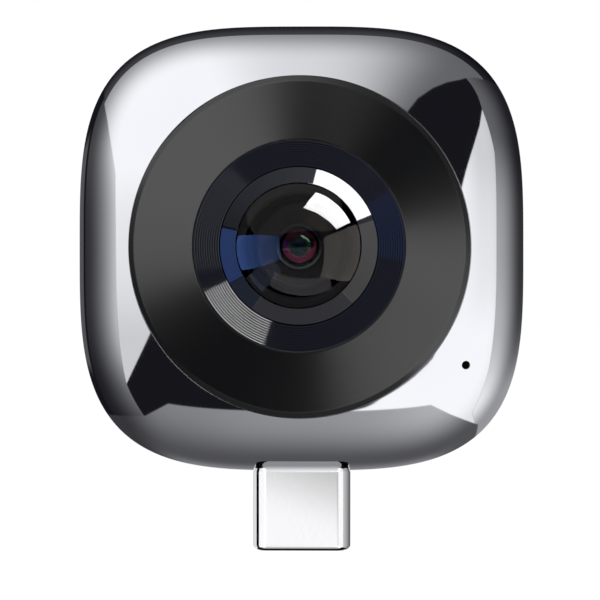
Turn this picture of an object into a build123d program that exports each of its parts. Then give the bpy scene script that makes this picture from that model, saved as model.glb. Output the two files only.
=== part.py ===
from build123d import *
from collections import namedtuple
from math import cos, pi, radians, sin, sqrt
import os

# Two-lens 360 degree camera that plugs into a phone. Sizes are in millimetres.
# +Z is up, -Y is the front and the origin is where the plug's axis leaves the underside.
# "Depth" is always the distance from the middle plane between the two lenses.

# Body form
body_size = 37.6
outline_exponent = 3.4
profile_exponent = 2.6
outline_point_count = 32
section_count = 17
section_reach_degrees = 54
wall = 1.2
seat_wall = 1.65
seam_gap = 0.12
seam_depth = 0.2
lip_thickness = 0.5
lip_height = 1.0
overrun = 1.0

# Clearances
fit_gap = 0.1
snug_gap = 0.05
thread_gap = 0.02

# Chassis plate in the middle plane
chassis_thickness = 1.0
chassis_gap = 0.7
chassis_rim_width = 0.9
chassis_rim_height = 0.8
plate_corner_share = 0.62
standoff_radius = 1.3
standoff_inset_x = 6.1
standoff_inset_z = 4.5

# Image sensor module, one on each face of the chassis
sensor_board_size = 11.0
sensor_board_thickness = 0.6
ear_x = 2.2
ear_z = 7.0
ear_radius = 1.4
ear_thickness = 1.1
sensor_width = 8.0
sensor_height = 7.0
sensor_thickness = 0.8
sensor_die_width = 6.2
sensor_die_height = 4.7
sensor_die_recess = 0.15
filter_size = 6.4
filter_thickness = 0.3
filter_rise = 0.4
filter_window_radius = 2.9
ledge_thickness = 0.25
holder_tower_height = 2.5
holder_wall = 0.85

# Lens barrel and its glass
barrel_thread_radius = 4.5
barrel_body_radius = 5.6
barrel_head_radius = 5.9
barrel_head_height = 1.6
barrel_head_rim = 0.35
dome_visible_radius = 5.0
dome_radius = 5.5
dome_curve = 6.5
dome_edge_thickness = 0.9
dome_back_curve = 4.0
dome_back_reach = 3.75
second_radius = 3.85
second_edge_thickness = 0.9
second_curve = 7.0
second_back_curve = 2.6
second_back_reach = 2.3
second_seat_drop = 2.3
throat_radius = 2.2
throat_length = 0.9
inner_glass_radius = 2.9
third_thickness = 1.1
third_curve = 3.5
third_reach = 2.1
stop_thickness = 0.1
stop_aperture_radius = 0.8
fourth_thickness = 1.0
fourth_curve = 4.0
fourth_reach = 2.1
lock_ring_height = 0.8

# Rings around each lens
trim_share = 0.7367
trim_rim_reveal = 0.12
trim_chamfer = 0.45
trim_face_rise = 1.7
trim_web = 1.2
trim_foot_width = 1.2
trim_inner_radius = 8.55
trim_ledge_width = 0.95
trim_hub_width = 1.3
tape_thickness = 0.15
tape_inset = 0.15
baffle_recess = 0.12
baffle_thickness = 0.6
baffle_face_rise = 0.67
baffle_groove_count = 11
baffle_groove_depth_share = 0.45
baffle_margin_share = 0.04
retainer_wall = 0.35
retainer_face_rise = 0.85
retainer_lip_thickness = 0.05
seal_width = 1.0

# Screws
shell_screw_foot_gap = 0.33
shell_screw_radius = 0.7
shell_screw_length = 6.0
shell_screw_head_radius = 1.15
shell_screw_head_height = 0.8
boss_radius = 1.9
boss_floor = 1.5
small_screw_radius = 0.6
small_screw_head_radius = 1.0
small_screw_head_height = 0.5
module_screw_reach = 0.9
board_screw_reach = 1.2
driver_socket_sides = 6
driver_socket_width_share = 0.9
driver_socket_depth_share = 0.5

# Main board and what is on it
board_gap = 0.3
board_inset = 0.5
board_thickness = 0.8
processor_size = 6.0
processor_thickness = 0.9
thermal_pad_thickness = 0.8
processor_rise = 0.6
can_width = 11.0
can_height = 6.0
can_depth = 1.2
can_sheet = 0.2
memory_width = 4.6
memory_height = 4.0
memory_thickness = 0.8
regulator_size = 3.2
regulator_thickness = 0.7
chip_spacing = 5.4
capacitor_length = 1.0
capacitor_width = 0.5
capacitor_columns = 3
capacitor_rows = 6
capacitor_pitch_x = 1.6
capacitor_pitch_z = 1.2
capacitor_inset = 3.4
crystal_width = 2.5
crystal_height = 2.0
crystal_thickness = 0.6
crystal_inset = 3.8
crystal_z = 3.2

# Flexible circuits from the sensor boards to the main board
flex_thickness = 0.15
flex_width = 5.0
flex_bend = 0.5
flex_run = 1.6
front_flex_slope = 2.0
rear_flex_slope = 3.0
flex_tail = 3.2
flex_connector_length = 2.4
flex_connector_width = 5.6

# Microphone behind the small hole in the front shell
microphone_inset_x = 5.3
microphone_inset_z = 9.2
microphone_hole_radius = 0.35
microphone_width = 2.8
microphone_height = 1.9
microphone_thickness = 0.9
microphone_boot_radius = 1.2
microphone_mesh_thickness = 0.1

# Plug: the standard reversible 24-contact phone plug
plug_width = 8.25
plug_thickness = 2.4
plug_length = 6.65
plug_wall = 0.3
plug_tip_round = 0.5
plug_tip_depth = 0.4
plug_lip = 0.35
tongue_width = 6.9
tongue_thickness = 0.9
tongue_depth = 5.4
contact_count = 12
contact_pitch = 0.5
contact_width = 0.25
contact_thickness = 0.2
contact_proud = 0.05
contact_setback = 0.8
contact_bump = 0.09
contact_bump_length = 0.8
contact_tail = 1.4
latch_thickness = 0.15
latch_arm = 0.35
latch_hook = 0.3
latch_hook_length = 0.8
latch_bridge = 0.6
latch_setback = 0.9
anchor_width = 14.0
anchor_depth = 5.0
anchor_height = 1.6
card_width = 10.4
card_length = 5.8
stack_connector_width = 7.0
stack_connector_height = 2.4
stack_connector_wall = 0.5
stack_connector_drop = 1.6
stack_blade_share = 0.75


def polar_radius(angle, exponent):
    """Radius of a unit squared-round curve in the direction of an angle."""
    return (abs(cos(angle)) ** exponent + abs(sin(angle)) ** exponent) ** (-1 / exponent)


def form_depth(x, z, size, depth):
    """Depth of a pillow form's surface over the point x, z, measured from the lens axis."""
    reach = (abs(x / size) ** outline_exponent + abs(z / size) ** outline_exponent) ** (1 / outline_exponent)
    return depth * (1 - reach**profile_exponent) ** (1 / profile_exponent)


def form_half_height(x, y, size, depth):
    """Half height of a pillow form at the sideways place x and depth y."""
    scale = (1 - abs(y / depth) ** profile_exponent) ** (1 / profile_exponent)
    return ((size * scale) ** outline_exponent - abs(x) ** outline_exponent) ** (1 / outline_exponent)


def sag(curve, reach):
    """Height of a sphere's cap of that reach."""
    return curve - sqrt(curve**2 - reach**2)


# Worked out from the sizes above: the stack of pieces outwards from the middle plane
half_size = body_size / 2
inner_half_size = half_size - wall
centre_height = half_size
chassis_depth = chassis_thickness / 2
sensor_board_top = chassis_depth + sensor_board_thickness
sensor_top = sensor_board_top + sensor_thickness
filter_depth = sensor_top + filter_rise
ledge_depth = filter_depth + filter_thickness + snug_gap
barrel_bottom = ledge_depth + ledge_thickness + fit_gap
holder_base_top = barrel_bottom
holder_top = holder_base_top + holder_tower_height
holder_tower_radius = barrel_thread_radius + thread_gap + holder_wall
barrel_step_depth = holder_top + fit_gap
floor_inner_depth = barrel_step_depth + fit_gap + fit_gap
seat_depth = floor_inner_depth + wall

# The pillow form is as deep as it must be for the ring seat to keep its wall
trim_radius = trim_share * half_size
seat_radius = trim_radius + fit_gap
seat_scale = (trim_radius + seat_wall) / half_size
half_depth = seat_depth / (1 - seat_scale**profile_exponent) ** (1 / profile_exponent)
inner_half_depth = half_depth - wall

# Rings and lens, worked out from the form
diagonal = seat_radius / sqrt(2)
trim_base = seat_depth + tape_thickness
trim_rim_depth = form_depth(diagonal, diagonal, half_size, half_depth) + trim_rim_reveal
trim_face_outer_radius = trim_radius - trim_chamfer
trim_face_outer_depth = trim_rim_depth + trim_chamfer
trim_face_inner_depth = trim_face_outer_depth + trim_face_rise
trim_foot_inner_radius = trim_radius - trim_foot_width
shell_screw_reach = trim_foot_inner_radius - shell_screw_foot_gap - shell_screw_head_radius
shell_screw_offset = shell_screw_reach / sqrt(2)
trim_hub_inner_radius = trim_inner_radius - trim_ledge_width
trim_hub_outer_radius = trim_hub_inner_radius + trim_hub_width
baffle_outer_radius = trim_inner_radius - fit_gap
baffle_outer_depth = trim_face_inner_depth - baffle_recess
baffle_bottom = baffle_outer_depth - baffle_thickness
retainer_bore_radius = barrel_head_radius + snug_gap
retainer_radius = retainer_bore_radius + retainer_wall
baffle_inner_radius = retainer_radius + fit_gap
baffle_inner_depth = baffle_outer_depth + baffle_face_rise
retainer_edge_depth = baffle_inner_depth
retainer_lip_depth = retainer_edge_depth + retainer_face_rise
dome_pole = retainer_lip_depth - retainer_lip_thickness - snug_gap + sag(dome_curve, dome_visible_radius)
dome_edge_depth = dome_pole - sag(dome_curve, dome_radius)
dome_back_depth = dome_edge_depth - dome_edge_thickness
barrel_head_top = dome_edge_depth - barrel_head_rim
barrel_head_bottom = barrel_head_top - barrel_head_height
second_back_depth = dome_back_depth - second_seat_drop
throat_bottom = second_back_depth - throat_length
third_back_depth = throat_bottom - third_thickness
stop_depth = third_back_depth - stop_thickness
fourth_back_depth = stop_depth - fourth_thickness
lock_ring_depth = fourth_back_depth - lock_ring_height

# Main board, on the front side of the chassis
board_bottom = chassis_depth + thermal_pad_thickness + processor_thickness
board_top = board_bottom + board_thickness
chassis_half_size = inner_half_size - chassis_gap
board_half_size = chassis_half_size - board_inset
standoff_x = chassis_half_size - standoff_inset_x
standoff_z = chassis_half_size - standoff_inset_z
capacitor_x = capacitor_inset - board_half_size
crystal_x = board_half_size - crystal_inset
microphone_x = half_size - microphone_inset_x
microphone_z = microphone_inset_z - half_size
processor_z = ear_z + ear_radius + processor_rise + processor_size / 2
microphone_top = board_top + microphone_thickness
mesh_depth = floor_inner_depth - microphone_mesh_thickness
microphone_boot_reach = floor_inner_depth - microphone_top

# Plug, anchor block and plug card, in heights above the underside
cavity_bottom = centre_height - form_half_height(
    anchor_width / 2, anchor_depth / 2, inner_half_size, inner_half_depth
)
anchor_bottom = cavity_bottom + snug_gap
anchor_top = anchor_bottom + anchor_height
plug_total_length = plug_length + anchor_top
card_bottom = anchor_top + snug_gap
card_top = card_bottom + card_length
contact_inner = tongue_thickness / 2 - contact_proud
card_thickness = 2 * contact_inner
card_depth = card_thickness / 2
insulator_half_thickness = plug_thickness / 2 - plug_wall - snug_gap
insulator_width = plug_width - 2 * plug_wall - 2 * snug_gap
stack_connector_z = card_top - stack_connector_drop - centre_height
stack_gap = board_bottom - card_depth

# The lens axis and the planes that the pieces are drawn on
centre = Vector(0, 0, centre_height)
optical_axis = Axis(centre, (0, -1, 0))
middle_plane = Plane(origin=centre, x_dir=(1, 0, 0), z_dir=(0, -1, 0))

# A face plane looks outwards along the lens axis. A profile plane holds radius and depth.
Side = namedtuple("Side", "name face profile")
front = Side("front", middle_plane, Plane(origin=centre, x_dir=(1, 0, 0), z_dir=(0, 0, -1)))
rear = Side(
    "rear",
    Plane(origin=centre, x_dir=(-1, 0, 0), z_dir=(0, 1, 0)),
    Plane(origin=centre, x_dir=(-1, 0, 0), z_dir=(0, 0, -1)),
)
sides = (front, rear)


def squircle(half, mode=Mode.ADD):
    """Adds the body's squared-round outline to the sketch that is being built."""
    points = []
    for index in range(outline_point_count):
        angle = 2 * pi * index / outline_point_count
        radius = half * polar_radius(angle, outline_exponent)
        points.append((radius * cos(angle), radius * sin(angle)))
    with BuildLine() as outline:
        Spline(*points, periodic=True)
    make_face(outline.edges(), mode=mode)


def pillow(size, depth):
    """The whole rounded form, lofted through squared-round sections from back to front."""
    with BuildPart() as form:
        for index in range(section_count):
            angle = radians(section_reach_degrees) * (2 * index / (section_count - 1) - 1)
            radius = polar_radius(angle, profile_exponent)
            with BuildSketch(middle_plane.offset(depth * radius * sin(angle))):
                squircle(size * radius * cos(angle))
        loft()
    return form.part


def hollow():
    """The room inside the two shells, flat behind the two ring seats."""
    with BuildPart() as room:
        add(pillow(inner_half_size, inner_half_depth))
        with Locations(centre):
            Box(body_size, 2 * floor_inner_depth, body_size, mode=Mode.INTERSECT)
    return room.part


outer_form = pillow(half_size, half_depth)
inner_room = hollow()
bore_radius = barrel_body_radius + seal_width
screw_seat_depth = chassis_depth + boss_floor


def shell_screw_places():
    """Where the screws join the shells, in a sketch on a face plane."""
    return GridLocations(2 * shell_screw_offset, 2 * shell_screw_offset, 2, 2)


def shell(side):
    """Half of the casing: pillow wall, ring seat with its floor, lens bore and four screw bosses."""
    with BuildPart() as half:
        add(outer_form)
        split(bisect_by=side.face, keep=Keep.TOP)
        add(inner_room, mode=Mode.SUBTRACT)
        with BuildSketch(side.face.offset(seat_depth)):
            Circle(seat_radius)
        extrude(amount=half_depth, mode=Mode.SUBTRACT)
        with BuildSketch(side.face.offset(chassis_depth)):
            with shell_screw_places():
                Circle(boss_radius)
        extrude(amount=floor_inner_depth - chassis_depth)
        with BuildSketch(side.face.offset(floor_inner_depth - overrun)):
            Circle(bore_radius)
        extrude(amount=wall + 2 * overrun, mode=Mode.SUBTRACT)
        # Hairline reveal where the two halves meet
        with BuildSketch(side.face):
            squircle(half_size + overrun)
            squircle(half_size - seam_depth, mode=Mode.SUBTRACT)
        extrude(amount=seam_gap / 2, mode=Mode.SUBTRACT)
        # Opening for the plug, shared by both halves
        with BuildSketch(Plane.XY.offset(-overrun)):
            SlotOverall(plug_width + 2 * fit_gap, plug_thickness + 2 * fit_gap)
        extrude(amount=wall + 2 * overrun, mode=Mode.SUBTRACT)
    return half


def front_shell():
    """The front half adds the locating lip, the screw counterbores and the microphone hole."""
    with BuildPart() as half:
        add(shell(front).part)
        with BuildSketch(rear.face.offset(-lip_height)):
            squircle(inner_half_size + lip_thickness)
            squircle(inner_half_size, mode=Mode.SUBTRACT)
            with Locations((0, -inner_half_size)):
                Rectangle(plug_width + 2 * fit_gap, 2 * wall + 2 * lip_thickness, mode=Mode.SUBTRACT)
        extrude(amount=2 * lip_height)
        with Locations(front.face.offset(seat_depth)):
            with shell_screw_places():
                CounterBoreHole(
                    shell_screw_radius + fit_gap,
                    shell_screw_head_radius + fit_gap,
                    seat_depth - screw_seat_depth,
                    depth=seat_depth,
                )
        with BuildSketch(front.face.offset(floor_inner_depth - microphone_boot_reach)):
            with Locations((microphone_x, microphone_z)):
                Circle(microphone_boot_radius + snug_gap)
        extrude(amount=microphone_boot_reach, mode=Mode.SUBTRACT)
        with BuildSketch(front.face.offset(floor_inner_depth)):
            with Locations((microphone_x, microphone_z)):
                Circle(microphone_hole_radius)
        extrude(amount=half_depth, mode=Mode.SUBTRACT)
    return half


def rear_shell():
    """The rear half adds the rebate for the lip and blind pilot holes for the screws."""
    with BuildPart() as half:
        add(shell(rear).part)
        with BuildSketch(rear.face):
            squircle(inner_half_size + lip_thickness + snug_gap)
            squircle(inner_half_size - fit_gap, mode=Mode.SUBTRACT)
        extrude(amount=lip_height + snug_gap, mode=Mode.SUBTRACT)
        with BuildSketch(rear.face.offset(chassis_depth)):
            with shell_screw_places():
                Circle(shell_screw_radius + thread_gap)
        extrude(amount=shell_screw_length - screw_seat_depth - chassis_depth + fit_gap, mode=Mode.SUBTRACT)
    return half


def ring_profile(side, points):
    """A ring turned about the lens axis from a closed outline of radius and depth."""
    with BuildPart() as ring:
        with BuildSketch(side.profile):
            with BuildLine():
                Polyline(*points, close=True)
            make_face()
        revolve(axis=optical_axis)
    return ring


def trim_ring(side):
    """Black conical ring: chamfered rim, sloping web, outer foot and inner hub with a ledge."""
    slope = trim_face_rise / (trim_face_outer_radius - trim_inner_radius)

    def underside(radius):
        return trim_face_outer_depth + (trim_face_outer_radius - radius) * slope - trim_web

    return ring_profile(
        side,
        [
            (trim_radius, trim_base),
            (trim_radius, trim_rim_depth),
            (trim_face_outer_radius, trim_face_outer_depth),
            (trim_inner_radius, trim_face_inner_depth),
            (trim_inner_radius, baffle_bottom),
            (trim_hub_inner_radius, baffle_bottom),
            (trim_hub_inner_radius, trim_base),
            (trim_hub_outer_radius, trim_base),
            (trim_hub_outer_radius, underside(trim_hub_outer_radius)),
            (trim_foot_inner_radius, underside(trim_foot_inner_radius)),
            (trim_foot_inner_radius, trim_base),
        ],
    )


def ring_tape(side):
    """Double-sided tape under the trim ring's foot and hub."""
    with BuildPart() as tape:
        with BuildSketch(side.face.offset(seat_depth)):
            Circle(trim_radius - tape_inset)
            Circle(trim_foot_inner_radius + tape_inset, mode=Mode.SUBTRACT)
        extrude(amount=tape_thickness)
        with BuildSketch(side.face.offset(seat_depth)):
            Circle(trim_hub_outer_radius - tape_inset)
            Circle(trim_hub_inner_radius + tape_inset, mode=Mode.SUBTRACT)
        extrude(amount=tape_thickness)
    return tape


def baffle_ring(side):
    """Ring of fine concentric grooves that kills stray light around the lens."""
    face_width = baffle_outer_radius - baffle_inner_radius
    margin = face_width * baffle_margin_share
    pitch = (face_width - 2 * margin) / baffle_groove_count
    slope = baffle_face_rise / face_width

    def face_depth(radius):
        return baffle_outer_depth + (baffle_outer_radius - radius) * slope

    points = [
        (baffle_outer_radius, baffle_bottom),
        (baffle_outer_radius, baffle_outer_depth),
    ]
    for index in range(baffle_groove_count):
        crest = baffle_outer_radius - margin - index * pitch
        root = crest - pitch / 2
        points.append((crest, face_depth(crest)))
        points.append((root, face_depth(root) - pitch * baffle_groove_depth_share))
    last = baffle_inner_radius + margin
    points.append((last, face_depth(last)))
    points.append((baffle_inner_radius, baffle_inner_depth))
    points.append((baffle_inner_radius, baffle_inner_depth - baffle_thickness))
    points.append((trim_hub_inner_radius, baffle_bottom))
    return ring_profile(side, points)


def lens_retainer(side):
    """Polished conical ring that screws on the barrel and holds the dome by its rim."""
    lip_under = retainer_lip_depth - retainer_lip_thickness
    pocket_radius = dome_radius + snug_gap
    return ring_profile(
        side,
        [
            (retainer_radius, barrel_head_bottom + fit_gap),
            (retainer_radius, retainer_edge_depth),
            (dome_visible_radius, retainer_lip_depth),
            (dome_visible_radius, lip_under),
            (pocket_radius, dome_edge_depth),
            (pocket_radius, barrel_head_top + snug_gap),
            (retainer_bore_radius, barrel_head_top + snug_gap),
            (retainer_bore_radius, barrel_head_bottom + fit_gap),
        ],
    )


def lens_barrel(side):
    """Stepped barrel: focusing thread, body, head, and inside a seat for each glass."""
    dome_bore = dome_radius + snug_gap
    second_bore = second_radius + snug_gap
    inner_bore = inner_glass_radius + snug_gap
    return ring_profile(
        side,
        [
            (barrel_thread_radius, barrel_bottom),
            (barrel_thread_radius, barrel_step_depth),
            (barrel_body_radius, barrel_step_depth),
            (barrel_body_radius, barrel_head_bottom),
            (barrel_head_radius, barrel_head_bottom),
            (barrel_head_radius, barrel_head_top),
            (dome_bore, barrel_head_top),
            (dome_bore, dome_back_depth),
            (second_bore, dome_back_depth),
            (second_bore, second_back_depth),
            (throat_radius, second_back_depth),
            (throat_radius, throat_bottom),
            (inner_bore, throat_bottom),
            (inner_bore, barrel_bottom),
        ],
    )


def glass(side, rim, back, edge, front_curve=0, front_reach=0, back_way=0, back_curve=0, back_reach=0):
    """A turned lens. Its back is flat, hollow where back_way is 1, or bulging where it is -1."""
    top = back + edge
    pole = top
    apex = back
    with BuildPart() as lens:
        with BuildSketch(side.profile):
            with BuildLine():
                if back_way:
                    apex = back + back_way * sag(back_curve, back_reach)
                    halfway = apex - back_way * sag(back_curve, back_reach / 2)
                    ThreePointArc((0, apex), (back_reach / 2, halfway), (back_reach, back))
                Line((back_reach, back), (rim, back))
                Line((rim, back), (rim, top))
                if front_reach < rim:
                    Line((rim, top), (front_reach, top))
                if front_curve:
                    pole = top + sag(front_curve, front_reach)
                    halfway = pole - sag(front_curve, front_reach / 2)
                    ThreePointArc((front_reach, top), (front_reach / 2, halfway), (0, pole))
                Line((0, pole), (0, apex))
            make_face()
        revolve(axis=optical_axis)
    return lens


def dome_lens(side):
    """The outer glass: a deep dome with a hollow back."""
    return glass(
        side,
        rim=dome_radius,
        back=dome_back_depth,
        edge=dome_edge_thickness,
        front_curve=dome_curve,
        front_reach=dome_radius,
        back_way=1,
        back_curve=dome_back_curve,
        back_reach=dome_back_reach,
    )


def second_lens(side):
    """A smaller hollow-backed glass behind the dome."""
    return glass(
        side,
        rim=second_radius,
        back=second_back_depth,
        edge=second_edge_thickness,
        front_curve=second_curve,
        front_reach=second_radius,
        back_way=1,
        back_curve=second_back_curve,
        back_reach=second_back_reach,
    )


def third_lens(side):
    """Glass with a bulging front, flat against the stop."""
    return glass(
        side,
        rim=inner_glass_radius,
        back=third_back_depth,
        edge=third_thickness,
        front_curve=third_curve,
        front_reach=third_reach,
    )


def fourth_lens(side):
    """Glass with a bulging back, flat against the stop."""
    return glass(
        side,
        rim=inner_glass_radius,
        back=fourth_back_depth,
        edge=fourth_thickness,
        back_way=-1,
        back_curve=fourth_curve,
        back_reach=fourth_reach,
    )


def aperture_stop(side):
    """Thin black washer whose small hole sets the lens's brightness."""
    return ring_profile(
        side,
        [
            (stop_aperture_radius, stop_depth),
            (inner_glass_radius, stop_depth),
            (inner_glass_radius, third_back_depth),
            (stop_aperture_radius, third_back_depth),
        ],
    )


def lock_ring(side):
    """Ring that holds the inner glass in the barrel from behind."""
    return ring_profile(
        side,
        [
            (throat_radius, lock_ring_depth),
            (inner_glass_radius, lock_ring_depth),
            (inner_glass_radius, fourth_back_depth),
            (throat_radius, fourth_back_depth),
        ],
    )


def lens_seal(side):
    """Square rubber ring between the barrel and the bore of the shell."""
    with BuildPart() as seal:
        with BuildSketch(side.profile):
            with Locations((barrel_body_radius + seal_width / 2, seat_depth - wall / 2)):
                Rectangle(seal_width - 2 * thread_gap, seal_width - 2 * thread_gap)
        revolve(axis=optical_axis)
    return seal


def module_outline(gap=0):
    """Square with two screw ears on one diagonal, in the sketch that is being built."""
    Rectangle(sensor_board_size + 2 * gap, sensor_board_size + 2 * gap)
    with Locations((ear_x, ear_z / 2), (-ear_x, -ear_z / 2)):
        Rectangle(2 * (ear_radius + gap), ear_z)
    with Locations((ear_x, ear_z), (-ear_x, -ear_z)):
        Circle(ear_radius + gap)


def module_screw_places():
    """Where a module's two ears take their screws."""
    return Locations((ear_x, ear_z), (-ear_x, -ear_z))


def sensor_board(side):
    """Small circuit board under the image sensor, with the same ears as the holder."""
    with BuildPart() as board:
        with BuildSketch(side.face.offset(chassis_depth)):
            module_outline()
            with module_screw_places():
                Circle(small_screw_radius + fit_gap, mode=Mode.SUBTRACT)
        extrude(amount=sensor_board_thickness)
    return board


def image_sensor(side):
    """Sensor package with its light-sensitive area set into the top."""
    with BuildPart() as sensor:
        with BuildSketch(side.face.offset(sensor_board_top)):
            Rectangle(sensor_width, sensor_height)
        extrude(amount=sensor_thickness)
        with BuildSketch(side.face.offset(sensor_top)):
            Rectangle(sensor_die_width, sensor_die_height)
        extrude(amount=-sensor_die_recess, mode=Mode.SUBTRACT)
    return sensor


def infrared_filter(side):
    """Square of filter glass under the ledge of the holder."""
    with BuildPart() as filter_glass:
        with BuildSketch(side.face.offset(filter_depth)):
            Rectangle(filter_size, filter_size)
        extrude(amount=filter_thickness)
    return filter_glass


def lens_holder(side):
    """Square base with ears over the sensor, and a threaded tower for the barrel."""
    with BuildPart() as holder:
        with BuildSketch(side.face.offset(sensor_board_top)):
            module_outline()
        extrude(amount=ear_thickness)
        with BuildSketch(side.face.offset(sensor_board_top)):
            Rectangle(sensor_board_size, sensor_board_size)
        extrude(amount=holder_base_top - sensor_board_top)
        with BuildSketch(side.face.offset(holder_base_top)):
            Circle(holder_tower_radius)
        extrude(amount=holder_tower_height)
        with BuildSketch(side.face.offset(sensor_board_top)):
            Rectangle(sensor_width + 2 * fit_gap, sensor_height + 2 * fit_gap)
        extrude(amount=filter_depth - sensor_board_top, mode=Mode.SUBTRACT)
        with BuildSketch(side.face.offset(filter_depth)):
            Rectangle(filter_size + 2 * fit_gap, filter_size + 2 * fit_gap)
        extrude(amount=ledge_depth - filter_depth, mode=Mode.SUBTRACT)
        with BuildSketch(side.face.offset(ledge_depth)):
            Circle(filter_window_radius)
        extrude(amount=ledge_thickness, mode=Mode.SUBTRACT)
        with BuildSketch(side.face.offset(ledge_depth + ledge_thickness)):
            Circle(barrel_thread_radius + thread_gap)
        extrude(amount=holder_tower_height + overrun, mode=Mode.SUBTRACT)
        with BuildSketch(side.face.offset(sensor_board_top)):
            with module_screw_places():
                Circle(small_screw_radius + fit_gap)
        extrude(amount=ear_thickness, mode=Mode.SUBTRACT)
    return holder


def standoff_places():
    """Where the main board stands on the chassis, in a sketch on a face plane."""
    return GridLocations(2 * standoff_x, 2 * standoff_z, 2, 2)


def flex_route(start, slope, direction, first_depth):
    """Places along a sensor's flexible circuit, as sideways place and depth."""
    last_depth = board_bottom - flex_connector_depth - flex_thickness / 2
    bend = start + flex_run
    rise_end = bend + slope
    return [
        (direction * start, first_depth),
        (direction * bend, first_depth),
        (direction * rise_end, last_depth),
        (direction * (rise_end + flex_tail), last_depth),
    ]


flex_connector_depth = thermal_pad_thickness
flex_start = sensor_board_size / 2
flex_layer_depth = chassis_depth + sensor_board_thickness / 2
front_flex_points = flex_route(flex_start, front_flex_slope, 1, flex_layer_depth)
rear_flex_points = flex_route(flex_start, rear_flex_slope, -1, -flex_layer_depth)
flex_plane = Plane(origin=centre, x_dir=(1, 0, 0), z_dir=(0, 0, -1))


def plate_outline(half, inset=0):
    """Square with large round corners that clears the shells all round."""
    size = 2 * (half - inset)
    RectangleRounded(size, size, plate_corner_share * half - inset)


def chassis():
    """Aluminium plate that carries both camera modules back to back, with board standoffs."""
    slot_start = flex_start + flex_run / 2
    slot_end = flex_start + flex_run + rear_flex_slope
    with BuildPart() as plate:
        with BuildSketch(rear.face.offset(-chassis_depth)):
            plate_outline(chassis_half_size)
        extrude(amount=chassis_thickness + chassis_rim_height)
        with BuildSketch(rear.face.offset(chassis_depth)):
            plate_outline(chassis_half_size, chassis_rim_width)
        extrude(amount=chassis_rim_height, mode=Mode.SUBTRACT)
        with BuildSketch(front.face.offset(chassis_depth)):
            with standoff_places():
                Circle(standoff_radius)
        extrude(amount=board_bottom - chassis_depth)
        # Screw holes: shell screws pass, module and board screws bite
        with BuildSketch(front.face.offset(-chassis_depth)):
            with shell_screw_places():
                Circle(shell_screw_radius + fit_gap)
            with GridLocations(2 * ear_x, 2 * ear_z, 2, 2):
                Circle(small_screw_radius + thread_gap)
        extrude(amount=chassis_thickness, mode=Mode.SUBTRACT)
        with BuildSketch(front.face.offset(chassis_depth)):
            with standoff_places():
                Circle(small_screw_radius + thread_gap)
        extrude(amount=board_bottom - chassis_depth, mode=Mode.SUBTRACT)
        # Slot for the rear sensor's flexible circuit
        with BuildSketch(front.face.offset(-chassis_depth)):
            with Locations((-(slot_start + slot_end) / 2, 0)):
                Rectangle(slot_end - slot_start, flex_width + 2 * board_gap)
        extrude(amount=chassis_thickness, mode=Mode.SUBTRACT)
        # Notch for the plug card, and a wider one where the plate bears on the anchor block
        with BuildSketch(Plane.XY):
            Rectangle(anchor_width + 2 * fit_gap, anchor_depth)
        extrude(amount=anchor_top + snug_gap, mode=Mode.SUBTRACT)
        with BuildSketch(Plane.XY):
            Rectangle(card_width + 2 * fit_gap, anchor_depth)
        extrude(amount=card_top + fit_gap, mode=Mode.SUBTRACT)
    return plate


def main_board():
    """Board in front of the chassis, open around the camera module, the bosses and the plug."""
    with BuildPart() as board:
        with BuildSketch(front.face.offset(board_bottom)):
            plate_outline(board_half_size)
            with shell_screw_places():
                Circle(boss_radius + fit_gap, mode=Mode.SUBTRACT)
            with standoff_places():
                Circle(small_screw_radius + fit_gap, mode=Mode.SUBTRACT)
            with Locations((0, -centre_height)):
                Rectangle(
                    anchor_width + 2 * board_gap, 2 * (anchor_top + board_gap), mode=Mode.SUBTRACT
                )
        extrude(amount=board_thickness)
        with BuildSketch(front.face.offset(board_bottom)):
            module_outline(board_gap)
        extrude(amount=board_thickness, mode=Mode.SUBTRACT)
    return board


def image_processor():
    """Square chip under the main board, over the thermal pad."""
    with BuildPart() as chip:
        with BuildSketch(front.face.offset(board_bottom - processor_thickness)):
            with Locations((0, processor_z)):
                Rectangle(processor_size, processor_size)
        extrude(amount=processor_thickness)
    return chip


def thermal_pad():
    """Soft pad that carries the processor's heat to the chassis."""
    with BuildPart() as pad:
        with BuildSketch(front.face.offset(chassis_depth)):
            with Locations((0, processor_z)):
                Rectangle(processor_size, processor_size)
        extrude(amount=thermal_pad_thickness)
    return pad


def shield_can():
    """Thin metal lid over the memory and the regulator."""
    with BuildPart() as can:
        with BuildSketch(front.face.offset(board_top)):
            with Locations((0, processor_z)):
                Rectangle(can_width, can_height)
        extrude(amount=can_depth)
        with BuildSketch(front.face.offset(board_top)):
            with Locations((0, processor_z)):
                Rectangle(can_width - 2 * can_sheet, can_height - 2 * can_sheet)
        extrude(amount=can_depth - can_sheet, mode=Mode.SUBTRACT)
    return can


def board_chips():
    """Memory and power regulator under the shield can."""
    with BuildPart() as chips:
        with BuildSketch(front.face.offset(board_top)):
            with Locations((-chip_spacing / 2, processor_z)):
                Rectangle(memory_width, memory_height)
        extrude(amount=memory_thickness)
        with BuildSketch(front.face.offset(board_top)):
            with Locations((chip_spacing / 2, processor_z)):
                Rectangle(regulator_size, regulator_size)
        extrude(amount=regulator_thickness)
    return chips


def board_components():
    """Capacitors in rows beside the lens, and the clock crystal opposite."""
    with BuildPart() as components:
        with BuildSketch(front.face.offset(board_top)):
            with Locations((capacitor_x, 0)):
                with GridLocations(capacitor_pitch_x, capacitor_pitch_z, capacitor_columns, capacitor_rows):
                    Rectangle(capacitor_length, capacitor_width)
        extrude(amount=capacitor_width)
        with BuildSketch(front.face.offset(board_top)):
            with Locations((crystal_x, crystal_z)):
                Rectangle(crystal_width, crystal_height)
        extrude(amount=crystal_thickness)
    return components


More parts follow.
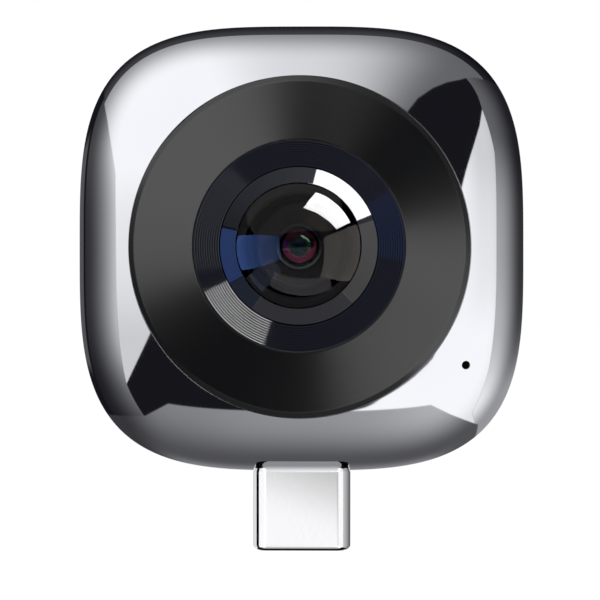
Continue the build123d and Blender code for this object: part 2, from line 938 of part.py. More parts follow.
def sensor_flex(points):
    """Flexible circuit bent to a route, as wide as its connector takes."""
    with BuildPart() as flex:
        with BuildSketch(flex_plane.offset(-flex_width / 2)):
            with BuildLine():
                FilletPolyline(*points, radius=flex_bend)
            trace(line_width=flex_thickness)
        extrude(amount=flex_width)
    return flex


def flex_connectors():
    """The two sockets under the main board that the sensors' flexible circuits reach."""
    with BuildPart() as sockets:
        with BuildSketch(front.face.offset(board_bottom - flex_connector_depth)):
            for points in (front_flex_points, rear_flex_points):
                middle = (points[-1][0] + points[-2][0]) / 2
                with Locations((middle, 0)):
                    Rectangle(flex_connector_length, flex_connector_width)
        extrude(amount=flex_connector_depth)
    return sockets


def microphone():
    """Microphone package on the board, with its sound port."""
    with BuildPart() as package:
        with BuildSketch(front.face.offset(board_top)):
            with Locations((microphone_x, microphone_z)):
                Rectangle(microphone_width, microphone_height)
        extrude(amount=microphone_thickness)
        with BuildSketch(front.face.offset(microphone_top)):
            with Locations((microphone_x, microphone_z)):
                Circle(microphone_hole_radius)
        extrude(amount=-microphone_thickness / 2, mode=Mode.SUBTRACT)
    return package


def microphone_boot():
    """Rubber tube from the microphone to the hole in the shell."""
    with BuildPart() as boot:
        with BuildSketch(front.face.offset(microphone_top)):
            with Locations((microphone_x, microphone_z)):
                Circle(microphone_boot_radius)
                Circle(microphone_hole_radius, mode=Mode.SUBTRACT)
        extrude(amount=mesh_depth - microphone_top)
    return boot


def microphone_mesh():
    """Disc of fine dust mesh behind the hole."""
    with BuildPart() as mesh:
        with BuildSketch(front.face.offset(mesh_depth)):
            with Locations((microphone_x, microphone_z)):
                Circle(microphone_boot_radius)
        extrude(amount=microphone_mesh_thickness)
    return mesh


def screws(places, seat, radius, length, head_radius, head_height):
    """Screws with a round head and a six-sided socket, at places given as side, x and z."""
    socket_width = head_radius * driver_socket_width_share
    socket_depth = head_height * driver_socket_depth_share
    with BuildPart() as group:
        for side, x, z in places:
            with BuildSketch(side.face.offset(seat - length)):
                with Locations((x, z)):
                    Circle(radius)
            extrude(amount=length)
            with BuildSketch(side.face.offset(seat)):
                with Locations((x, z)):
                    Circle(head_radius)
            extrude(amount=head_height)
            with BuildSketch(side.face.offset(seat + head_height)):
                with Locations((x, z)):
                    RegularPolygon(socket_width / 2, driver_socket_sides)
            extrude(amount=-socket_depth, mode=Mode.SUBTRACT)
    return group


corners = [(x, z) for x in (-1, 1) for z in (-1, 1)]


def shell_screws():
    """Screws that pull the two shells on the chassis, under the front trim ring."""
    spots = [(front, x * shell_screw_offset, z * shell_screw_offset) for x, z in corners]
    return screws(
        spots,
        screw_seat_depth,
        shell_screw_radius,
        shell_screw_length,
        shell_screw_head_radius,
        shell_screw_head_height,
    )


def board_screws():
    """Screws that hold the main board on the chassis standoffs."""
    spots = [(front, x * standoff_x, z * standoff_z) for x, z in corners]
    return screws(
        spots,
        board_top,
        small_screw_radius,
        board_thickness + board_screw_reach,
        small_screw_head_radius,
        small_screw_head_height,
    )


def module_screws():
    """Screws through the ears of both lens holders and sensor boards into the chassis."""
    spots = [(side, sign * ear_x, sign * ear_z) for side in sides for sign in (1, -1)]
    ear_top = sensor_board_top + ear_thickness
    return screws(
        spots,
        ear_top,
        small_screw_radius,
        ear_top - chassis_depth + module_screw_reach,
        small_screw_head_radius,
        small_screw_head_height,
    )


def plug_shell():
    """Drawn steel tube of the plug, with its rolled-in tip."""
    lip_width = plug_wall + plug_lip
    with BuildPart() as tube:
        with BuildSketch(Plane.XY.offset(-plug_length)):
            SlotOverall(plug_width, plug_thickness)
        extrude(amount=plug_total_length)
        fillet(tube.faces().sort_by(Axis.Z)[0].edges(), radius=plug_tip_round)
        with BuildSketch(Plane.XY.offset(plug_tip_depth - plug_length)):
            SlotOverall(plug_width - 2 * plug_wall, plug_thickness - 2 * plug_wall)
        extrude(amount=plug_total_length, mode=Mode.SUBTRACT)
        with BuildSketch(Plane.XY.offset(-plug_length)):
            SlotOverall(plug_width - 2 * lip_width, plug_thickness - 2 * lip_width)
        extrude(amount=plug_tip_depth, mode=Mode.SUBTRACT)
    return tube


def contact_places():
    """Sideways places of one row of contacts."""
    first = -(contact_count - 1) * contact_pitch / 2
    return [(first + index * contact_pitch, 0) for index in range(contact_count)]


def plug_insulator():
    """Black plastic core of the plug, with the mouth for the tongue and a slot for each contact."""
    bottom = plug_tip_depth + snug_gap - plug_length
    mouth_end = bottom + tongue_depth
    slot_depth = contact_thickness + snug_gap
    with BuildPart() as core:
        with BuildSketch(Plane.XY.offset(bottom)):
            SlotOverall(insulator_width, 2 * insulator_half_thickness)
        extrude(amount=anchor_top - bottom)
        with BuildSketch(Plane.XY.offset(bottom)):
            Rectangle(tongue_width, tongue_thickness)
        extrude(amount=tongue_depth, mode=Mode.SUBTRACT)
        # Contact slots run from behind the mouth's edge to the back of the core
        with BuildSketch(Plane.XY.offset(contact_setback - plug_length)):
            for row in (-1, 1):
                with Locations((0, row * (contact_inner + slot_depth / 2))):
                    with Locations(*contact_places()):
                        Rectangle(contact_width + 2 * snug_gap, slot_depth)
        extrude(amount=plug_total_length, mode=Mode.SUBTRACT)
        # Slot for the latch's bridge
        with BuildSketch(Plane.XY.offset(mouth_end)):
            Rectangle(tongue_width, latch_thickness + 2 * snug_gap)
        extrude(amount=latch_bridge + snug_gap, mode=Mode.SUBTRACT)
    return core


def plug_contacts():
    """Twenty-four contact springs, each with a raised touch point and a tail on the card."""
    tip = contact_setback + snug_gap - plug_length
    length = plug_total_length - contact_setback - snug_gap + contact_tail
    back = contact_inner + contact_thickness
    bump_start = tip + contact_bump_length
    with BuildPart() as contacts:
        for place in contact_places():
            for row in (-1, 1):
                with BuildSketch(Plane.YZ.offset(place[0] - contact_width / 2)):
                    with BuildLine():
                        Polyline(
                            (row * back, tip),
                            (row * back, tip + length),
                            (row * contact_inner, tip + length),
                            (row * contact_inner, bump_start + contact_bump_length),
                            (row * (contact_inner - contact_bump), bump_start),
                            (row * contact_inner, tip),
                            close=True,
                        )
                    make_face()
                extrude(amount=contact_width)
    return contacts


def plug_latch():
    """U-shaped spring plate whose two hooks click into the sides of the socket's tongue."""
    bottom = latch_setback - plug_length
    mouth_end = plug_tip_depth + snug_gap - plug_length + tongue_depth
    outer = tongue_width / 2 - snug_gap
    inner = outer - latch_arm
    hook = inner - latch_hook
    top = mouth_end + latch_bridge
    with BuildPart() as latch:
        with BuildSketch(Plane.XZ.offset(-latch_thickness / 2)):
            with BuildLine():
                Polyline(
                    (-outer, bottom),
                    (-outer, top),
                    (outer, top),
                    (outer, bottom),
                    (hook, bottom + latch_hook_length / 2),
                    (inner, bottom + latch_hook_length),
                    (inner, mouth_end),
                    (-inner, mouth_end),
                    (-inner, bottom + latch_hook_length),
                    (-hook, bottom + latch_hook_length / 2),
                    close=True,
                )
            make_face()
        extrude(amount=latch_thickness)
    return latch


def plug_anchor():
    """Moulded block around the plug's root, held between the shells and the chassis."""
    with BuildPart() as anchor:
        with BuildSketch(Plane.XY.offset(anchor_bottom)):
            RectangleRounded(anchor_width, anchor_depth, plug_thickness / 2)
            SlotOverall(plug_width + 2 * thread_gap, plug_thickness + 2 * thread_gap, mode=Mode.SUBTRACT)
        extrude(amount=anchor_height)
    return anchor


def plug_card():
    """Narrow circuit card between the two rows of contact tails."""
    with BuildPart() as card:
        with BuildSketch(Plane.XY.offset(card_bottom)):
            Rectangle(card_width, card_thickness)
        extrude(amount=card_length)
    return card


def stack_header():
    """Lower half of the connector that stacks the plug card under the main board."""
    blade_height = stack_connector_height - 2 * stack_connector_wall - 2 * snug_gap
    blade_width = stack_connector_width - 2 * stack_connector_wall - 2 * snug_gap
    with BuildPart() as header:
        with BuildSketch(front.face.offset(card_depth)):
            with Locations((0, stack_connector_z)):
                Rectangle(stack_connector_width, stack_connector_height)
        extrude(amount=stack_gap / 2 - snug_gap)
        with BuildSketch(front.face.offset(card_depth)):
            with Locations((0, stack_connector_z)):
                Rectangle(blade_width, blade_height)
        extrude(amount=stack_gap * stack_blade_share)
    return header


def stack_socket():
    """Upper half of the stacking connector, with the slot that takes the header's blade."""
    with BuildPart() as socket:
        with BuildSketch(front.face.offset(card_depth + stack_gap / 2)):
            with Locations((0, stack_connector_z)):
                Rectangle(stack_connector_width, stack_connector_height)
        extrude(amount=stack_gap / 2)
        with BuildSketch(front.face.offset(card_depth + stack_gap / 2)):
            with Locations((0, stack_connector_z)):
                Rectangle(
                    stack_connector_width - 2 * stack_connector_wall,
                    stack_connector_height - 2 * stack_connector_wall,
                )
        extrude(amount=stack_gap * stack_blade_share - stack_gap / 2 + snug_gap, mode=Mode.SUBTRACT)
    return socket


# Every piece by its name, then one file each
pieces = {
    "front_shell": front_shell(),
    "rear_shell": rear_shell(),
    "chassis": chassis(),
    "main_board": main_board(),
    "image_processor": image_processor(),
    "thermal_pad": thermal_pad(),
    "shield_can": shield_can(),
    "board_chips": board_chips(),
    "board_components": board_components(),
    "flex_connectors": flex_connectors(),
    "front_sensor_flex": sensor_flex(front_flex_points),
    "rear_sensor_flex": sensor_flex(rear_flex_points),
    "microphone": microphone(),
    "microphone_boot": microphone_boot(),
    "microphone_mesh": microphone_mesh(),
    "shell_screws": shell_screws(),
    "board_screws": board_screws(),
    "module_screws": module_screws(),
    "plug_shell": plug_shell(),
    "plug_insulator": plug_insulator(),
    "plug_contacts": plug_contacts(),
    "plug_latch": plug_latch(),
    "plug_anchor": plug_anchor(),
    "plug_card": plug_card(),
    "stack_header": stack_header(),
    "stack_socket": stack_socket(),
}
for side in sides:
    for make in (
        trim_ring,
        ring_tape,
        baffle_ring,
        lens_retainer,
        dome_lens,
        second_lens,
        third_lens,
        aperture_stop,
        fourth_lens,
        lock_ring,
        lens_barrel,
        lens_seal,
        lens_holder,
        infrared_filter,
        image_sensor,
        sensor_board,
    ):
        pieces[f"{side.name}_{make.__name__}"] = make(side)

os.makedirs("parts", exist_ok=True)
for name, piece in pieces.items():
    piece.part.label = name
    export_step(piece.part, f"parts/{name}.step")
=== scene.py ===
# %% [markdown]
# # Looks of a two-lens 360 degree camera
# The camera is a rounded square of mirror-bright plated plastic with a phone plug under it. Each
# face carries a satin black cone, a ring of fine grooves, a polished ring and a domed fisheye lens.
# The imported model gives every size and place, so this script first reads it, and then adds what
# the eye sees: finishes, the smooth casing, turned rings, glass, light and the viewpoint.

import bmesh
import bpy
import numpy as np
from math import asin, copysign, cos, pi, radians, sin, tan
from mathutils import Matrix, Vector


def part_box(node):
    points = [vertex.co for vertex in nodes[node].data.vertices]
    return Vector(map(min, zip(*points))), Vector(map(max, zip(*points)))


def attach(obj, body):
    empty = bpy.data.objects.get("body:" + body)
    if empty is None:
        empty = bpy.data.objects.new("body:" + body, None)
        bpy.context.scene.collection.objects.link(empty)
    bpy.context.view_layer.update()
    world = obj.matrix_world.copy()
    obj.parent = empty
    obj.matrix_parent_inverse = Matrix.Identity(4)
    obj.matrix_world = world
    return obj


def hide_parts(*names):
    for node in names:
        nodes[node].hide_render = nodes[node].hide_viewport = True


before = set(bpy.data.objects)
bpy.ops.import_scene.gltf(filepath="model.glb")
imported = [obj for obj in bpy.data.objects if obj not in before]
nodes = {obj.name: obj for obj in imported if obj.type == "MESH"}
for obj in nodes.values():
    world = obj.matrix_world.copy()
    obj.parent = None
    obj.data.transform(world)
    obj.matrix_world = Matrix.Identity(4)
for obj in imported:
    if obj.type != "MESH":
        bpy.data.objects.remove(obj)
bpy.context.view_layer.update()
mm = 0.001

# %% [markdown]
# Sizes come from the model's own boxes where a box shows them. The two exponents are the rule of
# the casing's form, and the half depth is how deep that form would be with no lens in it.

# %% Read the main sizes from the frame
shell_low, shell_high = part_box("front_shell")
ring_low, ring_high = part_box("front_trim_ring")
half_size = (shell_high[0] - shell_low[0]) / 2
centre = Vector((0, 0, (ring_high[2] + ring_low[2]) / 2))
trim_radius = (ring_high[0] - ring_low[0]) / 2
outline_exponent = 3.4
profile_exponent = 2.6
half_depth = 10.01 * mm
sides = {"front": 1, "rear": -1}
print("half size", round(half_size / mm, 2), "trim radius", round(trim_radius / mm, 2))

# %% [markdown]
# The camera stands about 200 mm away, a little below the middle of the lens and a little to the
# right. A long lens keeps the rounded square nearly undistorted.

# %% Place the viewpoint
view_distance = 200 * mm
view_height = 14.49 * mm
view_turn = radians(1.2)
view_shift = -0.14 * mm
view_lens = 142
sensor_width = 36
away = Vector((sin(view_turn), -cos(view_turn), 0))
sideways = Vector((cos(view_turn), sin(view_turn), 0))
viewpoint = bpy.data.objects.new("viewpoint", bpy.data.cameras.new("viewpoint"))
viewpoint.location = away * view_distance + sideways * view_shift + Vector((0, 0, view_height))
viewpoint.rotation_euler = (pi / 2, 0, view_turn)
viewpoint.data.lens = view_lens
viewpoint.data.sensor_width = sensor_width
viewpoint.data.clip_start = 1 * mm
bpy.context.scene.collection.objects.link(viewpoint)
bpy.context.scene.camera = viewpoint
bpy.context.scene.view_settings.view_transform = "Standard"
print("viewpoint at mm", [round(v / mm, 1) for v in viewpoint.location])

# %% [markdown]
# Colours are written as the hex codes that a screen shows, and turned to linear light here. One
# helper adds any node, sets it up and links it, so each tree reads as a list of steps.

# %% Helpers for colours and nodes


def linear(value):
    """Turns one screen value from 0 to 1 to linear light."""
    return value / 12.92 if value <= 0.04045 else ((value + 0.055) / 1.055) ** 2.4


def colour(code):
    """Turns a hex colour such as #a0b1c2 to linear red, green, blue and alpha."""
    return (*(linear(int(code[place : place + 2], 16) / 255) for place in (1, 3, 5)), 1.0)


def add(tree, kind, inputs=None, **settings):
    """Adds a node with its settings, and fills its inputs with values or links."""
    node = tree.nodes.new(kind)
    for name, value in settings.items():
        setattr(node, name, value)
    for socket, value in (inputs or {}).items():
        if isinstance(value, bpy.types.Node):
            value = value.outputs[0]
        if isinstance(value, bpy.types.NodeSocket):
            tree.links.new(value, node.inputs[socket])
        else:
            node.inputs[socket].default_value = value
    return node


def new_finish(name):
    """An empty material, its tree, and the place that its patterns read."""
    finish = bpy.data.materials.new(name)
    finish.use_nodes = True
    tree = finish.node_tree
    tree.nodes.clear()
    return finish, tree, add(tree, "ShaderNodeTexCoord").outputs["Object"]


def finish_surface(tree, pattern, shade, tone, look):
    """Ends a material's tree: a pattern mixes two tones on a surface with the given look."""
    # Sockets 6 and 7 of a mix are its two colours, and 2 and 3 its two plain numbers
    palette = {"Factor": pattern.outputs["Fac"], 6: colour(shade), 7: colour(tone)}
    tones = add(tree, "ShaderNodeMix", palette, data_type="RGBA").outputs[2]
    surface = add(tree, "ShaderNodeBsdfPrincipled", {"Base Color": tones, **look})
    add(tree, "ShaderNodeOutputMaterial", {"Surface": surface})


print("helpers ready")

# %% [markdown]
# Most surfaces are moulded, stamped or printed. One helper gives them two close tones, a roughness
# that wanders and a fine relief, all at the real grain size in millimetres.

# %% A helper for grained surfaces
coarse_share = 6
gloss_swing = 0.15


def grained(name, tone, shade, grain, roughness, metal=0.0, relief=0.002, stretch=(1, 1, 1), shine=0.5):
    """A finish whose tone, gloss and relief wander over a grain given in millimetres."""
    finish, tree, place = new_finish(name)
    placed = add(tree, "ShaderNodeMapping", {"Vector": place, "Scale": stretch})
    coarse_size = coarse_share * grain * mm
    coarse = add(tree, "ShaderNodeTexNoise", {"Vector": placed, "Scale": 1 / coarse_size, "Detail": 3.0})
    fine = add(tree, "ShaderNodeTexNoise", {"Vector": placed, "Scale": 1 / (grain * mm), "Detail": 2.0})
    swing = {"To Min": roughness * (1 - gloss_swing), "To Max": roughness * (1 + gloss_swing)}
    gloss = add(tree, "ShaderNodeMapRange", {"Value": fine, **swing})
    bump = add(tree, "ShaderNodeBump", {"Height": fine, "Distance": relief * mm})
    look = {"Roughness": gloss, "Normal": bump, "Metallic": metal, "Specular IOR Level": shine}
    finish_surface(tree, coarse, shade, tone, look)
    return finish


print("grained surfaces ready")

# %% [markdown]
# The casing is plastic with a bright metal plating, polished before and after. Only a faint
# waviness and hair-fine wear are left, so it mirrors the studio almost without blur.

# %% Plated shell finish
polish_wave = 9.0 * mm
wear_grain = 0.35 * mm


def plated_finish():
    """Bright plating: two close greys over the polish wave, and a gloss that wear just breaks."""
    finish, tree, place = new_finish("bright_plated_shell")
    wave = add(tree, "ShaderNodeTexNoise", {"Vector": place, "Scale": 1 / polish_wave, "Detail": 1.0})
    wear = add(tree, "ShaderNodeTexNoise", {"Vector": place, "Scale": 1 / wear_grain, "Detail": 4.0})
    gloss = add(tree, "ShaderNodeMapRange", {"Value": wear, "To Min": 0.02, "To Max": 0.06})
    finish_surface(tree, wave, "#e3e4e8", "#ecedf0", {"Metallic": 1.0, "Roughness": gloss})
    return finish


finishes = {"plated_shell": plated_finish()}
print("plated shell finish made")

# %% [markdown]
# The big cone is aluminium, turned, bead-blasted and anodised black. Blasting leaves a satin
# surface, and turning leaves lines round the lens that are almost too fine to see.

# %% Black trim finish
turning_pitch = 0.12 * mm
wave_factor = 10
blast_grain = 0.08 * mm
blast_relief = 0.004 * mm
blast_share = 0.85


def trim_finish():
    """Satin black anodising: turned lines under blasting, and a broad soft gloss."""
    finish, tree, place = new_finish("satin_black_anodised_aluminium")
    across = {"Vector": place, "Location": -centre, "Rotation": (pi / 2, 0, 0)}
    on_axis = add(tree, "ShaderNodeMapping", across)
    # Drawn a little coarser than the real cut, so that it shows at all
    turning = {"Vector": on_axis, "Scale": pi / (wave_factor * turning_pitch), "Distortion": 0.4}
    rings = add(tree, "ShaderNodeTexWave", turning, wave_type="RINGS", rings_direction="SPHERICAL")
    blast = add(tree, "ShaderNodeTexNoise", {"Vector": place, "Scale": 1 / blast_grain, "Detail": 2.0})
    relief = add(tree, "ShaderNodeMix", {"Factor": blast_share, 2: rings.outputs["Fac"], 3: blast})
    bump = add(tree, "ShaderNodeBump", {"Height": relief, "Distance": blast_relief, "Strength": 0.5})
    gloss = add(tree, "ShaderNodeMapRange", {"Value": blast, "To Min": 0.22, "To Max": 0.27})
    look = {"Roughness": gloss, "Normal": bump, "Specular IOR Level": 1.0}
    finish_surface(tree, rings, "#0e0f10", "#121314", look)
    return finish


finishes["black_trim"] = trim_finish()
print("trim finish made")

# %% [markdown]
# The glass carries thin coatings that tint what it mirrors. The dome's outside is hard-coated, and
# its hollow mirrors almost nothing. The small lens behind it glints green in front, magenta round
# the rim of its back and a dim blue in the middle, as an anti-reflection coating does.

# %% Glass finishes
glass_index = 1.6
streak_grain = 1.5 * mm


def coated_glass(name, tint, film=0.0, film_index=1.38, mirror="#ffffff"):
    """Polished optical glass under a thin anti-reflection film of a thickness in nanometres."""
    finish, tree, place = new_finish(name)
    streak = add(tree, "ShaderNodeTexNoise", {"Vector": place, "Scale": 1 / streak_grain, "Detail": 1.0})
    look = {
        "Roughness": 0.0,
        "IOR": glass_index,
        "Transmission Weight": 1.0,
        "Thin Film Thickness": film,
        "Thin Film IOR": film_index,
        "Specular Tint": colour(mirror),
    }
    finish_surface(tree, streak, tint, "#ffffff", look)
    return finish


finishes["coated_glass"] = coated_glass("hard_coated_fisheye_glass", "#fbfcff", mirror="#d9d9d9")
finishes["dome_inside"] = coated_glass("dark_coated_dome_inside", "#fbfcff", 105.0, mirror="#2c2c2c")
finishes["lens_glass"] = coated_glass("blue_coated_inner_glass", "#f8fbff", 105.0, mirror="#6070c0")
finishes["bulb_front"] = coated_glass("green_coated_bulb_glass", "#f8fbff", mirror="#5c946c")
finishes["bulb_back"] = coated_glass("magenta_coated_bulb_back", "#f8fbff", mirror="#ff6aa8")
finishes["filter_glass"] = coated_glass("blue_green_filter_glass", "#a9d6d2", 450.0, 1.9)
print("glass finishes made")

# %% [markdown]
# The groove ring and the polished ring are black plastic and lacquered metal. The plug is drawn
# stainless steel with a fine brushed lustre, and its contacts are plated with gold. The facts of
# each finish are its name, tone and shade, grain in millimetres, roughness, metal share, relief in
# millimetres, stretch of the grain and shine.

# %% Ring and metal finishes
grained_facts = {
    # Moulded black polycarbonate with a blue-black cast: the grooves break up reflections
    "grooved_black": ("moulded_blue_black_polycarbonate", "#10131c", "#0c0e16", 0.05, 0.07, 0.0, 0.0001),
    # Lacquered and polished brass: a deep black with sharp reflections
    "polished_black": ("polished_black_lacquer", "#191a1e", "#141518", 0.4, 0.04, 0.0, 0.00003),
    # Matt black lens paint that swallows light inside the barrel
    "lens_black": ("matt_black_lens_paint", "#040405", "#020202", 0.04, 0.7, 0.0, 0.002, (1, 1, 1), 0.12),
    # Drawn and barrel-polished stainless steel: bright, with a soft grain along the plug
    "plug_steel": ("polished_stainless_steel", "#ebebec", "#e2e2e4", 0.12, 0.09, 1.0, 0.0002, (6, 6, 1)),
    # Hard gold over nickel on stamped springs
    "gold_contacts": ("hard_gold_plating", "#e9c46a", "#d9ac4f", 0.05, 0.22, 1.0, 0.0005),
    # Rolled spring steel with faint rolling lines
    "spring_steel": ("rolled_spring_steel", "#b9bcc0", "#a3a6ab", 0.06, 0.3, 1.0, 0.001, (5, 5, 1)),
    # Zinc-flake coated machine screws: dull silver
    "screw_steel": ("coated_screw_steel", "#a9abae", "#8d9094", 0.08, 0.42, 1.0, 0.002),
    # Woven stainless mesh, blackened so that it doesn't show behind the hole
    "steel_mesh": ("blackened_steel_mesh", "#3a3b3d", "#141415", 0.05, 0.5, 1.0, 0.02),
    # Tin-plated sheet, bent to a lid: pale and slightly cloudy
    "tinned_steel": ("tin_plated_sheet", "#c9cacb", "#b1b3b6", 0.3, 0.32, 1.0, 0.0015),
    # Die-cast aluminium plate, tumbled: an even fine grain
    "cast_aluminium": ("tumbled_cast_aluminium", "#b4b6b9", "#9b9da1", 0.12, 0.5, 1.0, 0.006),
}
print("ring and metal finishes listed:", len(grained_facts))

# %% [markdown]
# The rest is inside: boards, chips, rubber, film and tape, each in its usual material.

# %% Inner finishes
grained_facts |= {
    # Moulded black liquid-crystal polymer with flow marks
    "plug_plastic": ("moulded_black_polymer", "#17181a", "#0f1012", 0.15, 0.45),
    # Glass-filled black nylon: matt with a faint fibre grain
    "holder_plastic": ("glass_filled_black_nylon", "#1c1d1e", "#121314", 0.1, 0.6, 0.0, 0.004),
    # Beige connector plastic that stands soldering heat
    "connector_plastic": ("beige_connector_plastic", "#d9cfb8", "#cabfa6", 0.1, 0.5),
    # Moulded silicone rubber, dull with a dusty bloom
    "seal_rubber": ("moulded_silicone_rubber", "#26282a", "#1b1c1e", 0.2, 0.75, 0.0, 0.004),
    # Closed-cell foam tape with adhesive on both faces
    "bonding_tape": ("black_foam_tape", "#202124", "#131416", 0.05, 0.85, 0.0, 0.006),
    # Fibreglass board under black solder mask: the weave shows through
    "circuit_board": ("black_solder_mask", "#12211c", "#0b1512", 0.25, 0.35, 0.0, 0.003),
    # Chip packages of filled epoxy, dull black
    "chip_epoxy": ("filled_black_epoxy", "#242527", "#191a1c", 0.06, 0.6, 0.0, 0.003),
    # Sintered ceramic capacitors, tan with a fine grain
    "ceramic_parts": ("sintered_ceramic", "#a98f6d", "#8d7454", 0.05, 0.5),
    # Soft filled silicone pad, pale blue-grey
    "thermal_pad": ("soft_thermal_silicone", "#8fa3b5", "#7b90a3", 0.2, 0.8, 0.0, 0.01),
    # Amber polyimide film over copper tracks
    "flex_film": ("amber_polyimide_film", "#b9772b", "#98601f", 0.3, 0.28, 0.0, 0.001),
    # Image sensor under cover glass: a dark violet shimmer
    "sensor_package": ("violet_image_sensor", "#2a2333", "#171320", 0.02, 0.2, 0.0, 0.0005),
}
for slot_name, facts in grained_facts.items():
    finishes[slot_name] = grained(*facts)
print("finishes made:", len(finishes), "in all")

# %% Give every model node its finish
for node in nodes.values():
    for holder in node.material_slots:
        slot_name = holder.material.name.split(".")[0]
        if slot_name in finishes:
            holder.material = finishes[slot_name]
        else:
            print("no finish for", slot_name, "on", node.name)
print("finishes given to", len(nodes), "nodes")

# %% [markdown]
# The casing's outside follows one rule: a rounded square in front view, and a softer rounded
# square in section. Geometry Nodes can follow a rule at any fineness, so a flat grid is bent by
# maths nodes into that skin, and its edges are then extruded round the wall's section until the
# loop closes. A mirror finish needs this: any small facet would break the reflections.

# %% Formulas of the casing form


def polar_radius(angle, exponent):
    """Radius of a unit squared-round curve in the direction of an angle."""
    return (abs(cos(angle)) ** exponent + abs(sin(angle)) ** exponent) ** (-1 / exponent)


def section_size(depth, size, form_depth):
    """Half size of the form's outline at a depth from the middle plane."""
    return size * (1 - (depth / form_depth) ** profile_exponent) ** (1 / profile_exponent)


wall = 1.2 * mm
seat_radius = trim_radius + 0.1 * mm
seat_depth = 7.0 * mm
bore_radius = 6.6 * mm
seam_depth = 0.2 * mm
skin_start = 0.006
start_radius = polar_radius(skin_start, profile_exponent)
cavity_depth = seat_depth - wall
middle_depth = cavity_depth / 2
casing_sizes = {
    "Half Size": half_size,
    "Half Depth": half_depth,
    "Outline Exponent": outline_exponent,
    "Profile Exponent": profile_exponent,
    "Skin Start": skin_start,
    "Seat Radius": seat_radius,
    "Seat Depth": seat_depth,
    "Bore Radius": bore_radius,
    "Cavity Depth": cavity_depth,
    "Cavity Size": section_size(cavity_depth, half_size - wall, half_depth - wall),
    "Middle Depth": middle_depth,
    "Middle Size": section_size(middle_depth, half_size - wall, half_depth - wall),
    "Inner Size": half_size - wall,
    "Seam Size": half_size - seam_depth,
    "Edge Size": half_size * start_radius * cos(skin_start),
    "Edge Depth": half_depth * start_radius * sin(skin_start),
    "Zero": 0.0,
    "Centre Height": centre.z,
    "Facing": 1.0,
}
print("cavity half size in mm", round(casing_sizes["Cavity Size"] / mm, 2))

# %% [markdown]
# The casing and the groove ring are both a section led round the lens axis, so one builder serves
# both. It reads a list of steps. Most steps are a sum with a name, an operation and its terms,
# which are numbers or the names of sizes and earlier sums. Three more words keep a value on the
# points, extrude the last row of edges, and move a row to its place.

# %% A builder for trees that lead a section round the axis


def curve_steps(name, angle, exponent):
    """Sums that give the radius of a unit squared-round curve at an angle."""
    return (
        (f"{name} cosine", "COSINE", angle),
        (f"{name} sine", "SINE", angle),
        (f"{name} width", "ABSOLUTE", f"{name} cosine"),
        (f"{name} height", "ABSOLUTE", f"{name} sine"),
        (f"{name} width power", "POWER", f"{name} width", exponent),
        (f"{name} height power", "POWER", f"{name} height", exponent),
        (f"{name} total", "ADD", f"{name} width power", f"{name} height power"),
        (f"{name} root", "DIVIDE", -1.0, exponent),
        (name, "POWER", f"{name} total", f"{name} root"),
    )


def row_steps(reach, depth):
    """Steps that move a row to a reach from the axis and a depth from the middle plane."""
    return (
        ("sideways", "MULTIPLY", reach, "cosine"),
        ("upwards", "MULTIPLY", reach, "sine"),
        ("facing x", "MULTIPLY", "sideways", "Facing"),
        ("backwards", "MULTIPLY", depth, "Facing"),
        ("facing y", "MULTIPLY", "backwards", -1.0),
        ("rise", "ADD", "upwards", "Centre Height"),
        ("move",),
    )


def section_tree(name, sizes, around, along, steps, finish):
    """Bends a flat grid by a list of steps and closes it to a dressed ring."""
    tree = bpy.data.node_groups.new(name, "GeometryNodeTree")
    for size_name, size in sizes.items():
        socket = tree.interface.new_socket(size_name, in_out="INPUT", socket_type="NodeSocketFloat")
        socket.default_value = size
    tree.interface.new_socket("Geometry", in_out="OUTPUT", socket_type="NodeSocketGeometry")
    value = {socket.name: socket for socket in add(tree, "NodeGroupInput").outputs}
    spread = {"Size X": 1.0, "Size Y": 1.0, "Vertices X": around + 1, "Vertices Y": along}
    shape = add(tree, "GeometryNodeMeshGrid", spread)
    flat = add(tree, "ShaderNodeSeparateXYZ", {0: add(tree, "GeometryNodeInputPosition")})
    value.update(x=flat.outputs["X"], y=flat.outputs["Y"])
    chosen = None
    for word, *facts in steps:
        if word == "keep":
            for kept in facts:
                stored = {"Geometry": shape, "Name": kept, "Value": value[kept]}
                shape = add(tree, "GeometryNodeStoreNamedAttribute", stored)
                value[f"kept {kept}"] = add(tree, "GeometryNodeInputNamedAttribute", {"Name": kept})
        elif word == "extrude":
            edges = {"Mesh": shape, "Selection": chosen or value["last row"], "Offset Scale": 0.0}
            shape = add(tree, "GeometryNodeExtrudeMesh", edges, mode="EDGES")
            chosen = shape.outputs["Top"]
        elif word == "move":
            corner = {"X": value["facing x"], "Y": value["facing y"], "Z": value["rise"]}
            moved = {"Geometry": shape, "Position": add(tree, "ShaderNodeCombineXYZ", corner)}
            if chosen:
                moved["Selection"] = chosen
            shape = add(tree, "GeometryNodeSetPosition", moved)
        else:
            operation, *terms = facts
            inputs = {place: value.get(term, term) for place, term in enumerate(terms)}
            value[word] = add(tree, "ShaderNodeMath", inputs, operation=operation)
    closed = add(tree, "GeometryNodeMergeByDistance", {"Geometry": shape, "Distance": weld})
    solid = add(tree, "GeometryNodeRealizeInstances", {"Geometry": closed})
    dressed = add(tree, "GeometryNodeSetMaterial", {"Geometry": solid, "Material": finish})
    add(tree, "NodeGroupOutput", {"Geometry": dressed})
    return tree


weld = 0.0001 * mm
print("tree builder ready")

# %% [markdown]
# The skin starts at the seam and climbs to the round seat of the cone, and the other rows lead
# through the seat, the bore, the hollow inside and the step at the seam, back to the start.

